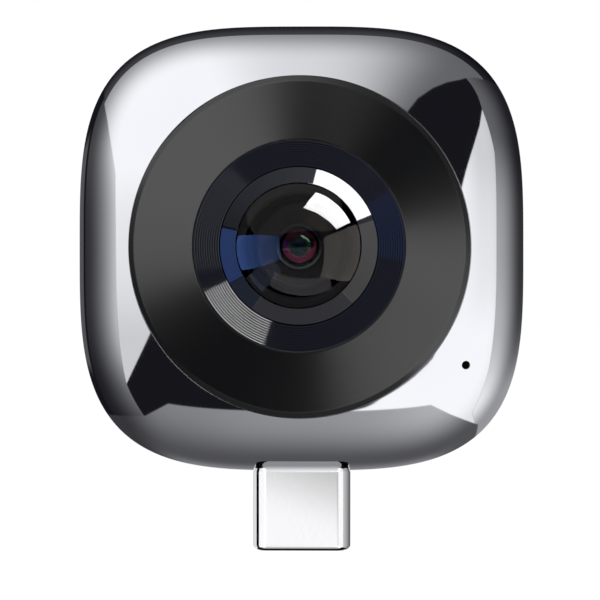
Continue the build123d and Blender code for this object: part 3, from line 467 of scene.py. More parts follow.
# %% The casing's tree
last_climb = 0.9999
casing_steps = [
    ("turn", "MULTIPLY_ADD", "x", 2 * pi, pi),
    ("climb", "ADD", "y", 0.5),
    *curve_steps("outline", "turn", "Outline Exponent"),
    ("full reach", "MULTIPLY", "outline", "Half Size"),
    # Where the skin meets the round seat, in this direction
    ("seat share", "DIVIDE", "Seat Radius", "full reach"),
    ("seat power", "POWER", "seat share", "Profile Exponent"),
    ("seat rest", "SUBTRACT", 1.0, "seat power"),
    ("seat root", "DIVIDE", 1.0, "Profile Exponent"),
    ("seat rise", "POWER", "seat rest", "seat root"),
    ("seat angle", "ARCTAN2", "seat rise", "seat share"),
    ("span", "SUBTRACT", "seat angle", "Skin Start"),
    ("angle", "MULTIPLY_ADD", "climb", "span", "Skin Start"),
    *curve_steps("profile", "angle", "Profile Exponent"),
    ("share", "MULTIPLY", "profile", "profile cosine"),
    ("level", "MULTIPLY", "profile", "profile sine"),
    ("reach", "MULTIPLY", "share", "full reach"),
    ("depth", "MULTIPLY", "level", "Half Depth"),
    ("keep", "turn", "outline", "climb"),
    ("last row", "GREATER_THAN", "kept climb", last_climb),
    ("cosine", "COSINE", "kept turn"),
    ("sine", "SINE", "kept turn"),
    *row_steps("reach", "depth"),
]
# Rows that the wall's section adds after the skin: the size, the depth, and whether it is round
section_rows = (
    ("Seat Radius", "Seat Depth", True),
    ("Bore Radius", "Seat Depth", True),
    ("Bore Radius", "Cavity Depth", True),
    ("Cavity Size", "Cavity Depth", False),
    ("Middle Size", "Middle Depth", False),
    ("Inner Size", "Zero", False),
    ("Seam Size", "Zero", False),
    ("Seam Size", "Edge Depth", False),
    ("Edge Size", "Edge Depth", False),
)
for size_name, depth_name, is_round in section_rows:
    row_reach = size_name
    if not is_round:
        row_reach = f"squared {size_name}"
        casing_steps.append((row_reach, "MULTIPLY", size_name, "kept outline"))
    casing_steps += [("extrude",), *row_steps(row_reach, depth_name)]
casing_around = 256
casing_along = 72
casing = section_tree(
    "casing_half", casing_sizes, casing_around, casing_along, casing_steps, finishes["plated_shell"]
)
print("casing tree has", len(casing.nodes), "nodes")

# %% [markdown]
# A tree's result is turned to a plain mesh before anything else uses it, so that the finished
# piece needs no live modifier. Edges that bend by more than a few degrees stay crisp, except on
# the casing, whose skin gets normals of its own.

# %% Helpers that make a mesh and fit it to the model
crease = radians(14)


def flatten(holder):
    """Bakes an object's modifiers into a plain mesh and removes them."""
    evaluated = holder.evaluated_get(bpy.context.evaluated_depsgraph_get())
    mesh = bpy.data.meshes.new_from_object(evaluated)
    holder.modifiers.clear()
    holder.data = mesh
    mesh.name = holder.name


def face_outwards(shape, mesh, crisp):
    """Turns a closed shape's faces outwards, smooths them, and writes them to a mesh."""
    bmesh.ops.recalc_face_normals(shape, faces=shape.faces)
    for face in shape.faces:
        face.smooth = True
    if crisp:
        for edge in shape.edges:
            edge.smooth = edge.calc_face_angle(0) < crease
    shape.to_mesh(mesh)
    shape.free()


def link_mesh(name, mesh):
    """Puts a mesh into the scene as an object of the same name."""
    made = bpy.data.objects.new(name, mesh)
    bpy.context.scene.collection.objects.link(made)
    return made


def grow(name, tree, facing, crisp):
    """Runs a tree for the front (1) or the rear (-1), and keeps its result as a plain mesh."""
    made = link_mesh(name, bpy.data.meshes.new(name))
    modifier = made.modifiers.new("tree", "NODES")
    modifier.node_group = tree
    modifier[tree.interface.items_tree["Facing"].identifier] = float(facing)
    flatten(made)
    shape = bmesh.new()
    shape.from_mesh(made.data)
    face_outwards(shape, made.data, crisp)
    return made


def draw(name, loops, finish=None, round_again=True):
    """Joins loops of places into a skin that leads round to its first loop or is capped at both ends."""
    shape = bmesh.new()
    rings = [[shape.verts.new(place) for place in loop] for loop in loops]
    pairs = list(zip(rings, rings[1:] + rings[:1]))
    for ring, other in pairs if round_again else pairs[:-1]:
        for j in range(len(ring)):
            i = (j + 1) % len(ring)
            shape.faces.new((ring[j], ring[i], other[i], other[j]))
    if not round_again:
        shape.faces.new(rings[0])
        shape.faces.new(rings[-1])
    bmesh.ops.remove_doubles(shape, verts=shape.verts, dist=weld)
    mesh = bpy.data.meshes.new(name)
    face_outwards(shape, mesh, bool(finish))
    if finish:
        mesh.materials.append(finish)
    return link_mesh(name, mesh)


def fit(made, node=None):
    """Fixes a piece to the camera's body and, where it stands for a model node, replaces that."""
    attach(made, "root")
    if node:
        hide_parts(node)


print("mesh helpers ready")

# %% [markdown]
# The plug's opening and the microphone's hole are cut with boolean cutters. After cutting, each
# corner of the skin gets the exact normal of the form's formula, so the mirror stays true right
# up to the edge of a hole.

# %% Cut and finish the two halves of the casing
plug_low, plug_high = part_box("plug_shell")
plug_width = plug_high[0] - plug_low[0]
plug_thickness = plug_high[1] - plug_low[1]
plug_gap = 0.04 * mm
port_x = 13.5 * mm
port_z = centre.z - 9.6 * mm
port_radius = 0.35 * mm
port_steps = 32
skin_tolerance = 0.002


def slot_outline(width, thickness, corner_steps=12):
    """Outline with two half-round ends."""
    radius = thickness / 2
    points = []
    for end in (1, -1):
        for k in range(corner_steps + 1):
            angle = pi * k / corner_steps - end * pi / 2
            points.append((end * (width / 2 - radius) + radius * cos(angle), radius * sin(angle)))
    return points


def cut(target, cutter):
    """Takes the cutter's volume away from the target and removes the cutter."""
    carve = target.modifiers.new("carve", "BOOLEAN")
    carve.operation = "DIFFERENCE"
    carve.solver = "EXACT"
    carve.object = cutter
    flatten(target)
    bpy.data.objects.remove(cutter)


def skin_slope(place):
    """Outward normal of the casing's form at a place, and whether the place is on its skin."""
    x, y, z = place.x / half_size, place.y / half_depth, (place.z - centre.z) / half_size
    outline = abs(x) ** outline_exponent + abs(z) ** outline_exponent
    level = outline ** (profile_exponent / outline_exponent) + abs(y) ** profile_exponent
    spread = outline ** (profile_exponent / outline_exponent - 1)
    slope = Vector(
        (
            spread * copysign(abs(x) ** (outline_exponent - 1), x) / half_size,
            copysign(abs(y) ** (profile_exponent - 1), y) / half_depth,
            spread * copysign(abs(z) ** (outline_exponent - 1), z) / half_size,
        )
    )
    return slope.normalized(), abs(level - 1) < skin_tolerance


def true_skin(mesh):
    """Gives every corner of the skin the formula's own normal, and leaves the other faces flat."""
    slopes = [skin_slope(corner.co) for corner in mesh.vertices]
    normals = [Vector((0, 0, 0))] * len(mesh.loops)
    for face in mesh.polygons:
        on_skin = all(slopes[v][1] for v in face.vertices)
        for loop in face.loop_indices:
            normals[loop] = slopes[mesh.loops[loop].vertex_index][0] if on_skin else face.normal.copy()
    mesh.polygons.foreach_set("use_smooth", [True] * len(mesh.polygons))
    mesh.normals_split_custom_set(normals)


opening = slot_outline(plug_width + 2 * plug_gap, plug_thickness + 2 * plug_gap)
port_turns = [2 * pi * k / port_steps for k in range(port_steps)]
port = [(port_x + port_radius * cos(turn), port_z + port_radius * sin(turn)) for turn in port_turns]
for side, facing in sides.items():
    half = grow(f"{side}_casing", casing, facing, crisp=False)
    loops = [[(x, y, level) for x, y in opening] for level in (-wall, 2 * wall)]
    cut(half, draw("plug_cutter", loops, round_again=False))
    if side == "front":
        loops = [[(x, level, z) for x, z in port] for level in (-2 * half_depth, wall - cavity_depth)]
        cut(half, draw("port_cutter", loops, round_again=False))
    true_skin(half.data)
    fit(half, f"{side}_shell")
    print(half.name, "faces", len(half.data.polygons))

# %% [markdown]
# The rings round each lens are turned on a lathe, so each is an outline of radius and depth spun
# about the lens axis. Real edges are never quite sharp: each corner is eased by a small curve.

# %% Helpers for turned pieces
turned_around = 256
ease_overrun = 1.5
front_share = 0.2


def eased(corners, steps=3):
    """Rounds each corner, given as radius, depth and ease, with a short curve."""
    points = []
    for k, (radius, depth, ease) in enumerate(corners):
        corner = Vector((radius, depth))
        if not ease:
            points.append(corner)
            continue
        backwards = (Vector(corners[k - 1][:2]) - corner).normalized()
        forwards = (Vector(corners[(k + 1) % len(corners)][:2]) - corner).normalized()
        # One more point past each end of the curve keeps the broad faces flat in their shading
        points.append(corner + backwards * ease * ease_overrun)
        for step in range(steps + 1):
            t = step / steps
            points.append(corner + backwards * ease * (1 - t) ** 2 + forwards * ease * t**2)
        points.append(corner + forwards * ease * ease_overrun)
    return points


def blend(first, second, share):
    """The value a share of the way from the first to the second."""
    return first + (second - first) * share


def arc(middle_depth, radius, start_reach, end_reach, steps):
    """Points of a sphere's section, from one reach off the axis to another."""
    points = []
    for step in range(steps + 1):
        tilt = blend(asin(start_reach / radius), asin(end_reach / radius), step / steps)
        points.append(Vector((radius * sin(tilt), middle_depth + radius * cos(tilt))))
    return points


def turned(name, outline, finish, facing, node=None):
    """Spins a closed outline of radius and depth about the lens axis."""
    loops = []
    for k in range(turned_around):
        angle = 2 * pi * k / turned_around
        across, up = facing * cos(angle), sin(angle)
        loops.append([(across * reach, -facing * depth, centre.z + up * reach) for reach, depth in outline])
    made = draw(name, loops, finishes[finish])
    fit(made, node)
    return made


def repaint(made, facing, names, choose):
    """Adds finishes to a piece, and picks each face's by its reach and how far it looks forward."""
    for name in names:
        made.data.materials.append(finishes[name])
    for face in made.data.polygons:
        reach = Vector((face.center.x, face.center.z - centre.z)).length
        face.material_index = choose(reach, -facing * face.normal.y)


print("lathe helpers ready")

# %% [markdown]
# The black cone has a chamfer where it rises out of the mirror casing, a broad straight slope and
# a crisp inner edge over the groove ring.

# %% Turn the trim rings
trim_chamfer = 0.45 * mm
trim_face_rise = 1.7 * mm
trim_inner_radius = 8.55 * mm
trim_hub_radius = 7.6 * mm
trim_foot = 1.2 * mm
trim_ease = 0.06 * mm
trim_top = -ring_low[1]
trim_base = -ring_high[1]
trim_face_depth = trim_top - trim_face_rise
baffle_low, baffle_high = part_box("front_baffle_ring")
trim_corners = (
    (trim_radius, trim_base, 0),
    (trim_radius, trim_face_depth - trim_chamfer, trim_ease),
    (trim_radius - trim_chamfer, trim_face_depth, trim_ease),
    (trim_inner_radius, trim_top, trim_ease),
    (trim_inner_radius, -baffle_high[1], 0),
    (trim_hub_radius, -baffle_high[1], 0),
    (trim_hub_radius, trim_base, 0),
    (trim_radius - trim_foot, trim_base, 0),
)
for side, facing in sides.items():
    turned(f"{side}_cone", eased(trim_corners), "black_trim", facing, f"{side}_trim_ring")
print("trim rings turned, top at mm", round(trim_top / mm, 2))

# %% [markdown]
# Inside the cone lies a ring of fine grooves. They keep stray light out of the lens: each groove
# has a flat land and a flank that leans inwards and flashes only where a lamp stands opposite.
# The grooves repeat, so a node tree makes them: it bends a flat grid by the rule of one groove.

# %% The groove ring's tree
groove_count = 11
groove_width = 2.05 * mm
groove_rise = 0.67 * mm
groove_bore = 6.33 * mm
flank_lean = radians(27)
groove_rows = 3 * groove_count
groove_sizes = {
    "Outer Radius": -baffle_low[0],
    "Outer Depth": -baffle_low[1] - groove_rise,
    "Slope": groove_rise / groove_width,
    "Pitch": (-baffle_low[0] - groove_bore) / groove_count,
    "Land Share": 0.46,
    "Flank Share": 0.38,
    "Flank Slope": tan(flank_lean),
    "Back Depth": -baffle_high[1],
    "Centre Height": centre.z,
    "Facing": 1.0,
}
groove_steps = (
    ("turn", "MULTIPLY_ADD", "x", 2 * pi, pi),
    ("along", "MULTIPLY_ADD", "y", groove_rows, groove_rows / 2),
    ("row", "ROUND", "along"),
    ("third", "DIVIDE", "row", 3.0),
    ("groove", "FLOOR", "third"),
    ("corner", "MODULO", "row", 3.0),
    ("past land", "GREATER_THAN", "corner", 0.5),
    ("past flank", "GREATER_THAN", "corner", 1.5),
    ("land", "MULTIPLY", "past land", "Land Share"),
    ("flank", "MULTIPLY", "past flank", "Flank Share"),
    # Steps inwards, counted in grooves: to the end of the land, and to the end of the flank
    ("land step", "ADD", "groove", "land"),
    ("whole step", "ADD", "land step", "flank"),
    ("land way", "MULTIPLY", "land step", "Pitch"),
    ("whole way", "MULTIPLY", "whole step", "Pitch"),
    ("flank way", "MULTIPLY", "flank", "Pitch"),
    ("climb", "MULTIPLY", "land way", "Slope"),
    ("drop", "MULTIPLY", "flank way", "Flank Slope"),
    ("cone", "ADD", "Outer Depth", "climb"),
    ("depth", "SUBTRACT", "cone", "drop"),
    ("reach", "SUBTRACT", "Outer Radius", "whole way"),
    ("keep", "turn", "row"),
    ("last row", "GREATER_THAN", "kept row", groove_rows - 0.5),
    ("inner radius", "MULTIPLY_ADD", "Pitch", -groove_count, "Outer Radius"),
    ("cosine", "COSINE", "kept turn"),
    ("sine", "SINE", "kept turn"),
    *row_steps("reach", "depth"),
    ("extrude",),
    *row_steps("inner radius", "Back Depth"),
    ("extrude",),
    *row_steps("Outer Radius", "Back Depth"),
    ("extrude",),
    *row_steps("Outer Radius", "Outer Depth"),
)
grooves = section_tree(
    "groove_ring", groove_sizes, turned_around, groove_rows + 1, groove_steps, finishes["grooved_black"]
)
for side, facing in sides.items():
    ring = grow(f"{side}_groove_ring", grooves, facing, crisp=True)
    fit(ring, f"{side}_baffle_ring")
print("groove rings have", len(ring.data.polygons), "faces each")

# %% [markdown]
# A polished ring holds the dome. Its broad face is a shallow cone, so each lamp shows in it as a
# clean sector. The dome is ground glass: a deep outside curve and a hollow back. The hollow has a
# coating of its own, and the flat rim round it is painted black.

# %% Turn the polished rings and the domes
retainer_low, retainer_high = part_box("front_lens_retainer")
dome_low, dome_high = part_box("front_dome_lens")
retainer_radius = -retainer_low[0]
retainer_top = -retainer_low[1]
retainer_back = -retainer_high[1]
retainer_rise = 0.85 * mm
retainer_bore = 5.95 * mm
retainer_ease = 0.03 * mm
lip_radius = 4.96 * mm
lip_width = 0.05 * mm
lip_drop = 0.16 * mm
dome_radius = dome_high[0]
dome_gap = 0.05 * mm
dome_curve = 6.5 * mm
dome_pole = -dome_low[1]
dome_back = -dome_high[1]
dome_edge = 0.9 * mm
dome_hollow = 4.0 * mm
dome_hollow_reach = 3.75 * mm
retainer_corners = (
    (retainer_radius, retainer_back, 0),
    (retainer_radius, retainer_top - retainer_rise, retainer_ease),
    (lip_radius + lip_width, retainer_top, retainer_ease),
    (lip_radius, retainer_top - lip_drop, 0),
    (dome_radius + dome_gap, dome_back + dome_edge, 0),
    (dome_radius + dome_gap, dome_back, 0),
    (retainer_bore, dome_back, 0),
    (retainer_bore, retainer_back, 0),
)
hollow_middle = dome_back - dome_hollow * cos(asin(dome_hollow_reach / dome_hollow))
dome_steps, hollow_steps = 48, 32
dome_outline = (
    arc(dome_pole - dome_curve, dome_curve, 0, dome_radius, dome_steps)
    + [Vector((dome_radius, dome_back)), Vector((dome_hollow_reach, dome_back))]
    + arc(hollow_middle, dome_hollow, dome_hollow_reach, 0, hollow_steps)[1:]
)


def dome_finish(reach, forward):
    """Hard coating outside, dark coating in the hollow and paint on the flat rim."""
    return 0 if forward > front_share else 2 if reach > dome_hollow_reach else 1


for side, facing in sides.items():
    rim = eased(retainer_corners)
    turned(f"{side}_polished_ring", rim, "polished_black", facing, f"{side}_lens_retainer")
    dome = turned(f"{side}_dome", dome_outline, "coated_glass", facing, f"{side}_dome_lens")
    repaint(dome, facing, ("dome_inside", "lens_black"), dome_finish)
print("dome pole at mm", round(dome_pole / mm, 2))

# %% [markdown]
# Behind the dome sits a small bulging lens. A matt black stop in front and a black iris behind
# cover all but its middle, which is why the eye of the camera looks so small, and why the rest
# behind the dome looks black. The stop's lip is lacquered metal and catches a fine ring of light.

# %% Turn the bulging lenses, their stops and irises
second_low, second_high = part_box("front_second_lens")
second_radius = second_high[0]
second_front = -second_low[1]
second_back = -second_high[1]
bulb_curve = 2.0 * mm
bulb_reach = 1.6 * mm
bulb_shoulder = second_front - bulb_curve + bulb_curve * cos(asin(bulb_reach / bulb_curve))
bulb_steps = 24
hollow_curve = 2.6 * mm
hollow_reach = 2.2 * mm
hollow_centre = second_back - hollow_curve * cos(asin(hollow_reach / hollow_curve))
magenta_reach = 0.8 * mm
bulb_outline = (
    arc(second_front - bulb_curve, bulb_curve, 0, bulb_reach, bulb_steps)
    + [Vector((second_radius, bulb_shoulder)), Vector((second_radius, second_back))]
    + arc(hollow_centre, hollow_curve, hollow_reach, 0, bulb_steps)
)
stop_gap = 0.04 * mm
stop_opening = 1.75 * mm
stop_height = 0.16 * mm
stop_flat = 0.2 * mm
stop_slope = 0.3 * mm
stop_lip = 0.28 * mm
stop_rim_rise = 0.7 * mm
lip_ease = 0.05 * mm
foot_ease = 0.03 * mm
stop_base = bulb_shoulder + stop_gap
stop_corners = (
    (stop_opening, stop_base, 0),
    (stop_opening, stop_base + stop_height, lip_ease),
    (stop_opening + stop_flat, stop_base + stop_height, lip_ease),
    (stop_opening + stop_slope, stop_base + stop_height / 2, foot_ease),
    (second_radius - stop_gap, stop_base + stop_rim_rise, 0),
    (second_radius - stop_gap, stop_base, 0),
)
iris_opening = 0.55 * mm
iris_thickness = 0.08 * mm
iris_front = second_back - stop_gap
iris_back = iris_front - iris_thickness
iris_corners = (
    (iris_opening, iris_front),
    (second_radius, iris_front),
    (second_radius, iris_back),
    (iris_opening, iris_back),
)


def bulb_finish(reach, forward):
    """Green coating in front, magenta round the back's rim and blue in its middle."""
    return 1 if forward > front_share else 2 if reach > magenta_reach else 0


def stop_finish(reach, forward):
    """Lacquer on the lip and paint on the rest."""
    return 1 if reach < stop_opening + stop_lip else 0


for side, facing in sides.items():
    bulb = turned(f"{side}_bulb_lens", bulb_outline, "lens_glass", facing, f"{side}_second_lens")
    repaint(bulb, facing, ("bulb_front", "bulb_back"), bulb_finish)
    turned(f"{side}_iris", iris_corners, "lens_black", facing)
    stop = turned(f"{side}_light_stop", eased(stop_corners), "lens_black", facing)
    repaint(stop, facing, ("polished_black",), stop_finish)
print("stop opening in mm", stop_opening / mm)

# %% [markdown]
# The plug's steel tube is drawn to a slot section with half-round sides. Its tip is rolled in to
# a rounded rim round the mouth. Rows of the same slot outline, each inset a little, give that.

# %% Draw the plug's tube
plug_wall = 0.3 * mm
tip_round = 0.5 * mm
tip_lip = 0.65 * mm
tip_depth = 0.4 * mm
tip_steps = 8
side_steps = 24
mouth_ease = 0.05 * mm
plug_bottom, plug_top = plug_low[2], plug_high[2]
plug_rows = [(0, plug_top)]
for step in range(tip_steps + 1):
    tilt = pi / 2 * step / tip_steps
    plug_rows.append((tip_round * (1 - cos(tilt)), plug_bottom + tip_round * (1 - sin(tilt))))
plug_rows += [
    (tip_lip - mouth_ease, plug_bottom),
    (tip_lip, plug_bottom + mouth_ease),
    (tip_lip, plug_bottom + tip_depth),
    (plug_wall, plug_bottom + tip_depth),
    (plug_wall, plug_top),
]
plug_loops = []
for inset, height in plug_rows:
    outline = slot_outline(plug_width - 2 * inset, plug_thickness - 2 * inset, side_steps)
    plug_loops.append([(x, y, height) for x, y in outline])
plug = draw("plug_tube", plug_loops, finishes["plug_steel"])
fit(plug, "plug_shell")
print("plug tube faces", len(plug.data.polygons))

# %% [markdown]
# Polished metal shows nothing but its surroundings, so the studio is the picture. A large tent
# surrounds the camera. Its brightness is worked out from the direction, in degrees away from the
# front and in turns about it: a soft panel high on the left, a second one low on the right, a
# dark gap on the diagonal between them, a grey card below, side walls that dim backwards and a
# white sweep behind.

# %% Edges of the panels in the light tent
edge_blur = 0.45
# Edges as places across, and the height of the edge at each, in degrees
upper_panel_edge = (
    (-90, -64, -39, 17, 23, 31, 41, 53, 61, 71, 84, 120),
    (-60, -35, -8, 31, 41.5, 49.5, 56.4, 62.4, 67.5, 72, 76, 90),
)
lower_panel_edge = ((-1, 0, 30, 47, 57, 65, 71, 90), (-60, -49, -20, 7, 19, 29.5, 41, 60))
floor_card_edge = (
    (-120, -52, -33, 0, 30, 45, 57, 85, 93, 100),
    (-80, -59, -45, -49, -46, -57, -65, -84, -104, -120),
)
# Edges of the side walls as heights, and the place across at each
left_wall_edge = ((-90, -60, -35, 11, 36, 55, 80), (-80, -53, -64, -70, -88, -104, -120))
right_wall_edge = ((-100, -61, -29, 0, 19, 41, 51, 60, 67, 110), (90, 67, 77, 81, 81, 71, 69, 65, 60, 60))
panel_rim = 116.5
sweep_start = 152
gap_level = 23.0


def rise(low, high, value):
    """Smooth step from 0 at low to 1 at high."""
    share = np.clip((value - low) / (high - low), 0, 1)
    return share * share * (3 - 2 * share)


def inside(distance):
    """How far a direction is past an edge, from 0 to 1, over a narrow blur."""
    return rise(-edge_blur, edge_blur, distance)


print("widest panel edge at", max(upper_panel_edge[0]), "degrees")

# %% [markdown]
# Each part of the tent is a level from 0, black, to 255, white, that fades with the direction.
# The numbers in it are such levels, and the degrees between which it fades.

# %% Brightness of the tent in each direction


def left_wall_level(angle, up):
    """The left wall fades backwards, and ends in a dark gap and a dim strip."""
    level = 50 + 96 * (np.clip(120 - angle, 0, 60) / 40) ** 1.8
    level *= 1 + 0.38 * rise(0, 26, up) - 0.35 * rise(0, -45, up)
    level = blend(level, 22, rise(122, 127, angle))
    return blend(level, 84, rise(129, 133, angle) * rise(44, 30, abs(up)))


def right_wall_level(angle, up):
    """The right wall is brightest low down, and dims upwards and backwards."""
    level = blend(182, 58, rise(82, 138, angle)) * blend(1, 0.56, rise(-8, 32, up))
    return blend(level, blend(247, 155, rise(84, 122, angle)), rise(0, -56, up))


def floor_card_level(angle, across):
    """The grey card below brightens to the right, and again below the plug."""
    level = blend(136, 84, rise(50, 112, angle)) * blend(1, 0.68, rise(-40, -85, across))
    level += 52 * rise(-24, 40, across) * (1 - rise(58, 112, angle))
    return level + 50 * rise(75, 35, abs(across)) * rise(118, 150, angle)


def high_panel_level(angle, turn, up):
    """The high panel on the left fades to its right and to its rim, and is dim past the rim."""
    level = blend(257, 107, rise(106, 56, turn)) - 44 * rise(14, -14, up)
    level = level - (level - 100) * 0.64 * rise(70, 120, angle)
    beyond = blend(64, 29, rise(118, 150, angle)) * blend(1, 0.5, rise(88, 50, turn))
    return blend(level, beyond, inside(angle - panel_rim))


def studio_brightness(turn, angle):
    """Screen brightness from 0 to 255 in directions, in degrees round and away from the front."""
    across = angle * np.cos(np.radians(turn))
    up = angle * np.sin(np.radians(turn))
    wall_left = np.interp(up, *left_wall_edge)
    wall_right = np.interp(up, *right_wall_edge)
    level = np.full_like(angle, gap_level)
    level = blend(level, left_wall_level(angle, up), inside(wall_left - across))
    level = blend(level, right_wall_level(angle, up), inside(across - wall_right))
    low = 258 - 40 * rise(-14, 18, up) * rise(42, 66, angle) - 24 * rise(70, 98, angle)
    low_panel = inside(np.interp(across, *lower_panel_edge) - up) * inside(wall_right - across)
    level = blend(level, low, low_panel * rise(-1, 1, across))
    floor_card = inside(np.interp(across, *floor_card_edge) - up)
    level = blend(level, floor_card_level(angle, across), floor_card)
    upper = inside(up - np.interp(across, *upper_panel_edge)) * inside(across - wall_left)
    level = blend(level, high_panel_level(angle, turn, up), upper)
    # The casing never mirrors the middle: the satin cone does, and it is dark above and below
    core = 27 + 22 * np.cos(np.radians(2 * turn)) ** 4
    sideways_share = rise(0.5, 0.95, abs(np.cos(np.radians(turn))))
    core_level = blend(blend(16, 6, rise(0, -20, up)), 250, sideways_share)
    level = blend(level, core_level, inside(core - angle))
    return blend(level, 255, inside(angle - sweep_start))


print("brightness straight ahead", round(float(studio_brightness(np.zeros(1), np.zeros(1))[0])))

# %% [markdown]
# The tent is a sphere whose points hold the brightness of their directions as a colour, so the
# light needs no picture. The viewpoint doesn't see it, and it casts no shadow.

# %% The light tent
tent_radius = 1.0
tent_step = 0.5
tent_strength = 1.1


def light_tent():
    """A sphere of light whose points hold the brightness of their directions."""
    rows, steps = round(180 / tent_step) + 1, round(360 / tent_step)
    angle, turn = np.meshgrid(np.arange(rows) * tent_step, np.arange(steps) * tent_step, indexing="ij")
    reach = tent_radius * np.sin(np.radians(angle))
    places = np.stack(
        (
            reach * np.cos(np.radians(turn)),
            -tent_radius * np.cos(np.radians(angle)),
            reach * np.sin(np.radians(turn)) + centre.z,
        ),
        axis=-1,
    ).reshape(-1, 3)
    first = np.arange((rows - 1) * steps).reshape(rows - 1, steps)
    after = np.roll(first, -1, axis=1)
    corners = np.stack((first, after, after + steps, first + steps), axis=-1).reshape(-1, 4)
    mesh = bpy.data.meshes.new("light_tent")
    mesh.from_pydata(places, [], corners)
    glow = mesh.color_attributes.new("glow", "FLOAT_COLOR", "POINT")
    screen = np.clip(studio_brightness(turn, angle) / 255, 0, 1.1).ravel()
    level = ((screen + 0.055) / 1.055) ** 2.4
    tints = np.stack((level, level, level * 1.01 + 0.003, np.ones_like(level)), axis=-1)
    glow.data.foreach_set("color", tints.ravel())
    finish, tree, place = new_finish("tent_light")
    source = add(tree, "ShaderNodeAttribute", attribute_name="glow")
    light = add(tree, "ShaderNodeEmission", {"Color": source.outputs["Color"], "Strength": tent_strength})
    add(tree, "ShaderNodeOutputMaterial", {"Surface": light})
    mesh.materials.append(finish)
    tent = link_mesh("light_tent", mesh)
    tent.visible_camera = False
    tent.visible_shadow = False
    return tent


tent = light_tent()
print("tent faces", len(tent.data.polygons))

# %% [markdown]
# Light linking says which lamps light which pieces. The lens sets, the rear casing and the plug
# get lamps of their own and are kept from the tent, which is made for the front casing and cones.

# %% Share out the light
mirror_names = ("polished_ring", "dome")
dark_names = ("bulb_lens", "iris", "light_stop", "third_lens", "fourth_lens", "lens_barrel", "lock_ring")
dark_names += ("aperture_stop", "infrared_filter", "image_sensor", "lens_holder", "groove_ring")


def light_group(name, pieces):
    """A collection of pieces for a lamp's light linking."""
    group = bpy.data.collections.new(name)
    for piece in pieces:
        group.objects.link(piece)
    return group


def lens_pieces(side, names):
    """Pieces of one lens set, drawn here or carried over from the model."""
    return [bpy.data.objects.get(f"{side}_{name}") or nodes[f"{side}_{name}"] for name in names]


rear_casing = bpy.data.objects["rear_casing"]
kept_from_tent = [rear_casing, plug]
lens_lit, groove_lit = {}, {}
for side in sides:
    lens_lit[side] = light_group(f"{side}_lit_by_lens_lamps", lens_pieces(side, mirror_names))
    groove_lit[side] = light_group(f"{side}_lit_by_groove_lamps", lens_pieces(side, ("groove_ring",)))
    kept_from_tent += lens_pieces(side, mirror_names + dark_names)
rear_lit = light_group("lit_by_rear_lamps", [rear_casing])
plug_lit = light_group("lit_by_plug_lamps", [plug])
unlit = light_group("kept_from_tent", kept_from_tent)
tent.light_linking.receiver_collection = unlit
for member in unlit.collection_objects:
    member.light_linking.link_state = "EXCLUDE"
print("pieces kept from the tent", len(kept_from_tent))

# %% [markdown]
# The dome shows each lamp as a sharp shape: a strong white softbox high on the right, a blue one
# on the left, and dim grey cards on the right, above and below. The same set stands behind for
# the rear lens. The grooves flash in one lamp of their own, the rear casing mirrors plain panels,
# and the plug mirrors cards in front, behind, below and at its sides.

# %% Lists of the lamps
# Each lamp: degrees round, degrees off the axis, width, height, radiance, roll in degrees, colour
lens_lamps = (
    ("key", 51.5, 68.5, 49, 42, 24.0, -8),
    ("blue", 186, 64, 38, 76, 3.3, 0, "#709cff"),
    ("navy_card", 219.5, 66, 23, 50, 0.5, 0, "#c1d4ff"),
    ("right_card", -11, 71, 60, 68, 1.1, 14, "#fff8f0"),
    ("upper_card", 98, 62, 140, 84, 0.26, 0, "#f6f2f0"),
    ("upper_rim_card", 110, 96, 140, 36, 0.16, 0, "#f6f2f0"),
    ("lower_card", 272.5, 60, 74, 28, 0.66, -8, "#f8f6ff"),
    ("lower_rim_card", 270, 95, 130, 36, 0.18, 0, "#f8f6ff"),
)
groove_lamps = (
    ("groove_flash", 50.3, 52, 33.5, 14, 24.0),
    ("groove_grey", 342, 53, 68, 18, 1.6, 0, "#f2f4ff"),
    ("groove_blue", 190, 53, 30, 18, 2.0, 0, "#5385ff"),
    ("groove_fill", 0, 0, 84, 84, 0.4, 0, "#e6e6f8"),
)
rear_lamps = (
    ("rear_high_panel", 128, 68, 92, 84, 1.0),
    ("rear_low_panel", -26, 66, 78, 60, 1.0),
    ("rear_floor_card", 268, 86, 96, 56, 0.17),
    ("rear_right_wall", 8, 106, 70, 44, 0.3),
    ("rear_left_wall", 182, 100, 70, 50, 0.18),
)
plug_lamps = (
    ("plug_front_card", 270, 6, 32, 20, 1.19, -12),
    ("plug_rear_card", 270, 174, 28, 20, 0.9),
    ("plug_low_card", 270, 43, 60, 54, 1.1),
    ("plug_rear_low_card", 270, 144, 60, 40, 0.8),
    ("plug_right_strip", 0, 37, 80, 40, 1.2),
    ("plug_right_wall", 0, 90, 80, 68, 0.75),
    ("plug_right_rear", 0, 142, 80, 36, 0.16),
    ("plug_left_strip", 180, 40, 80, 56, 1.2),
    ("plug_left_wall", 180, 126, 80, 64, 0.9),
)
# Flags and fades: cuts of the inner and outer edge, where the fade starts and ends, and its levels
lamp_shades = {
    "key": (0.32, 0.15, 0.0, 1.0, 1.0, 1.0),
    "blue": (0.0, 0.0, 0.0, 1.0, 1.0, 0.3),
    "plug_front_card": (0.0, 0.0, 0.33, 0.55, 1.0, 0.54),
    "plug_low_card": (0.0, 0.0, 0.35, 0.75, 0.35, 1.0),
    "plug_right_wall": (0.0, 0.0, 0.0, 1.0, 0.25, 1.0),
}
print("lamps listed", len(lens_lamps + groove_lamps + rear_lamps + plug_lamps))

# %% Hang the lamps
lamp_distance = 0.5


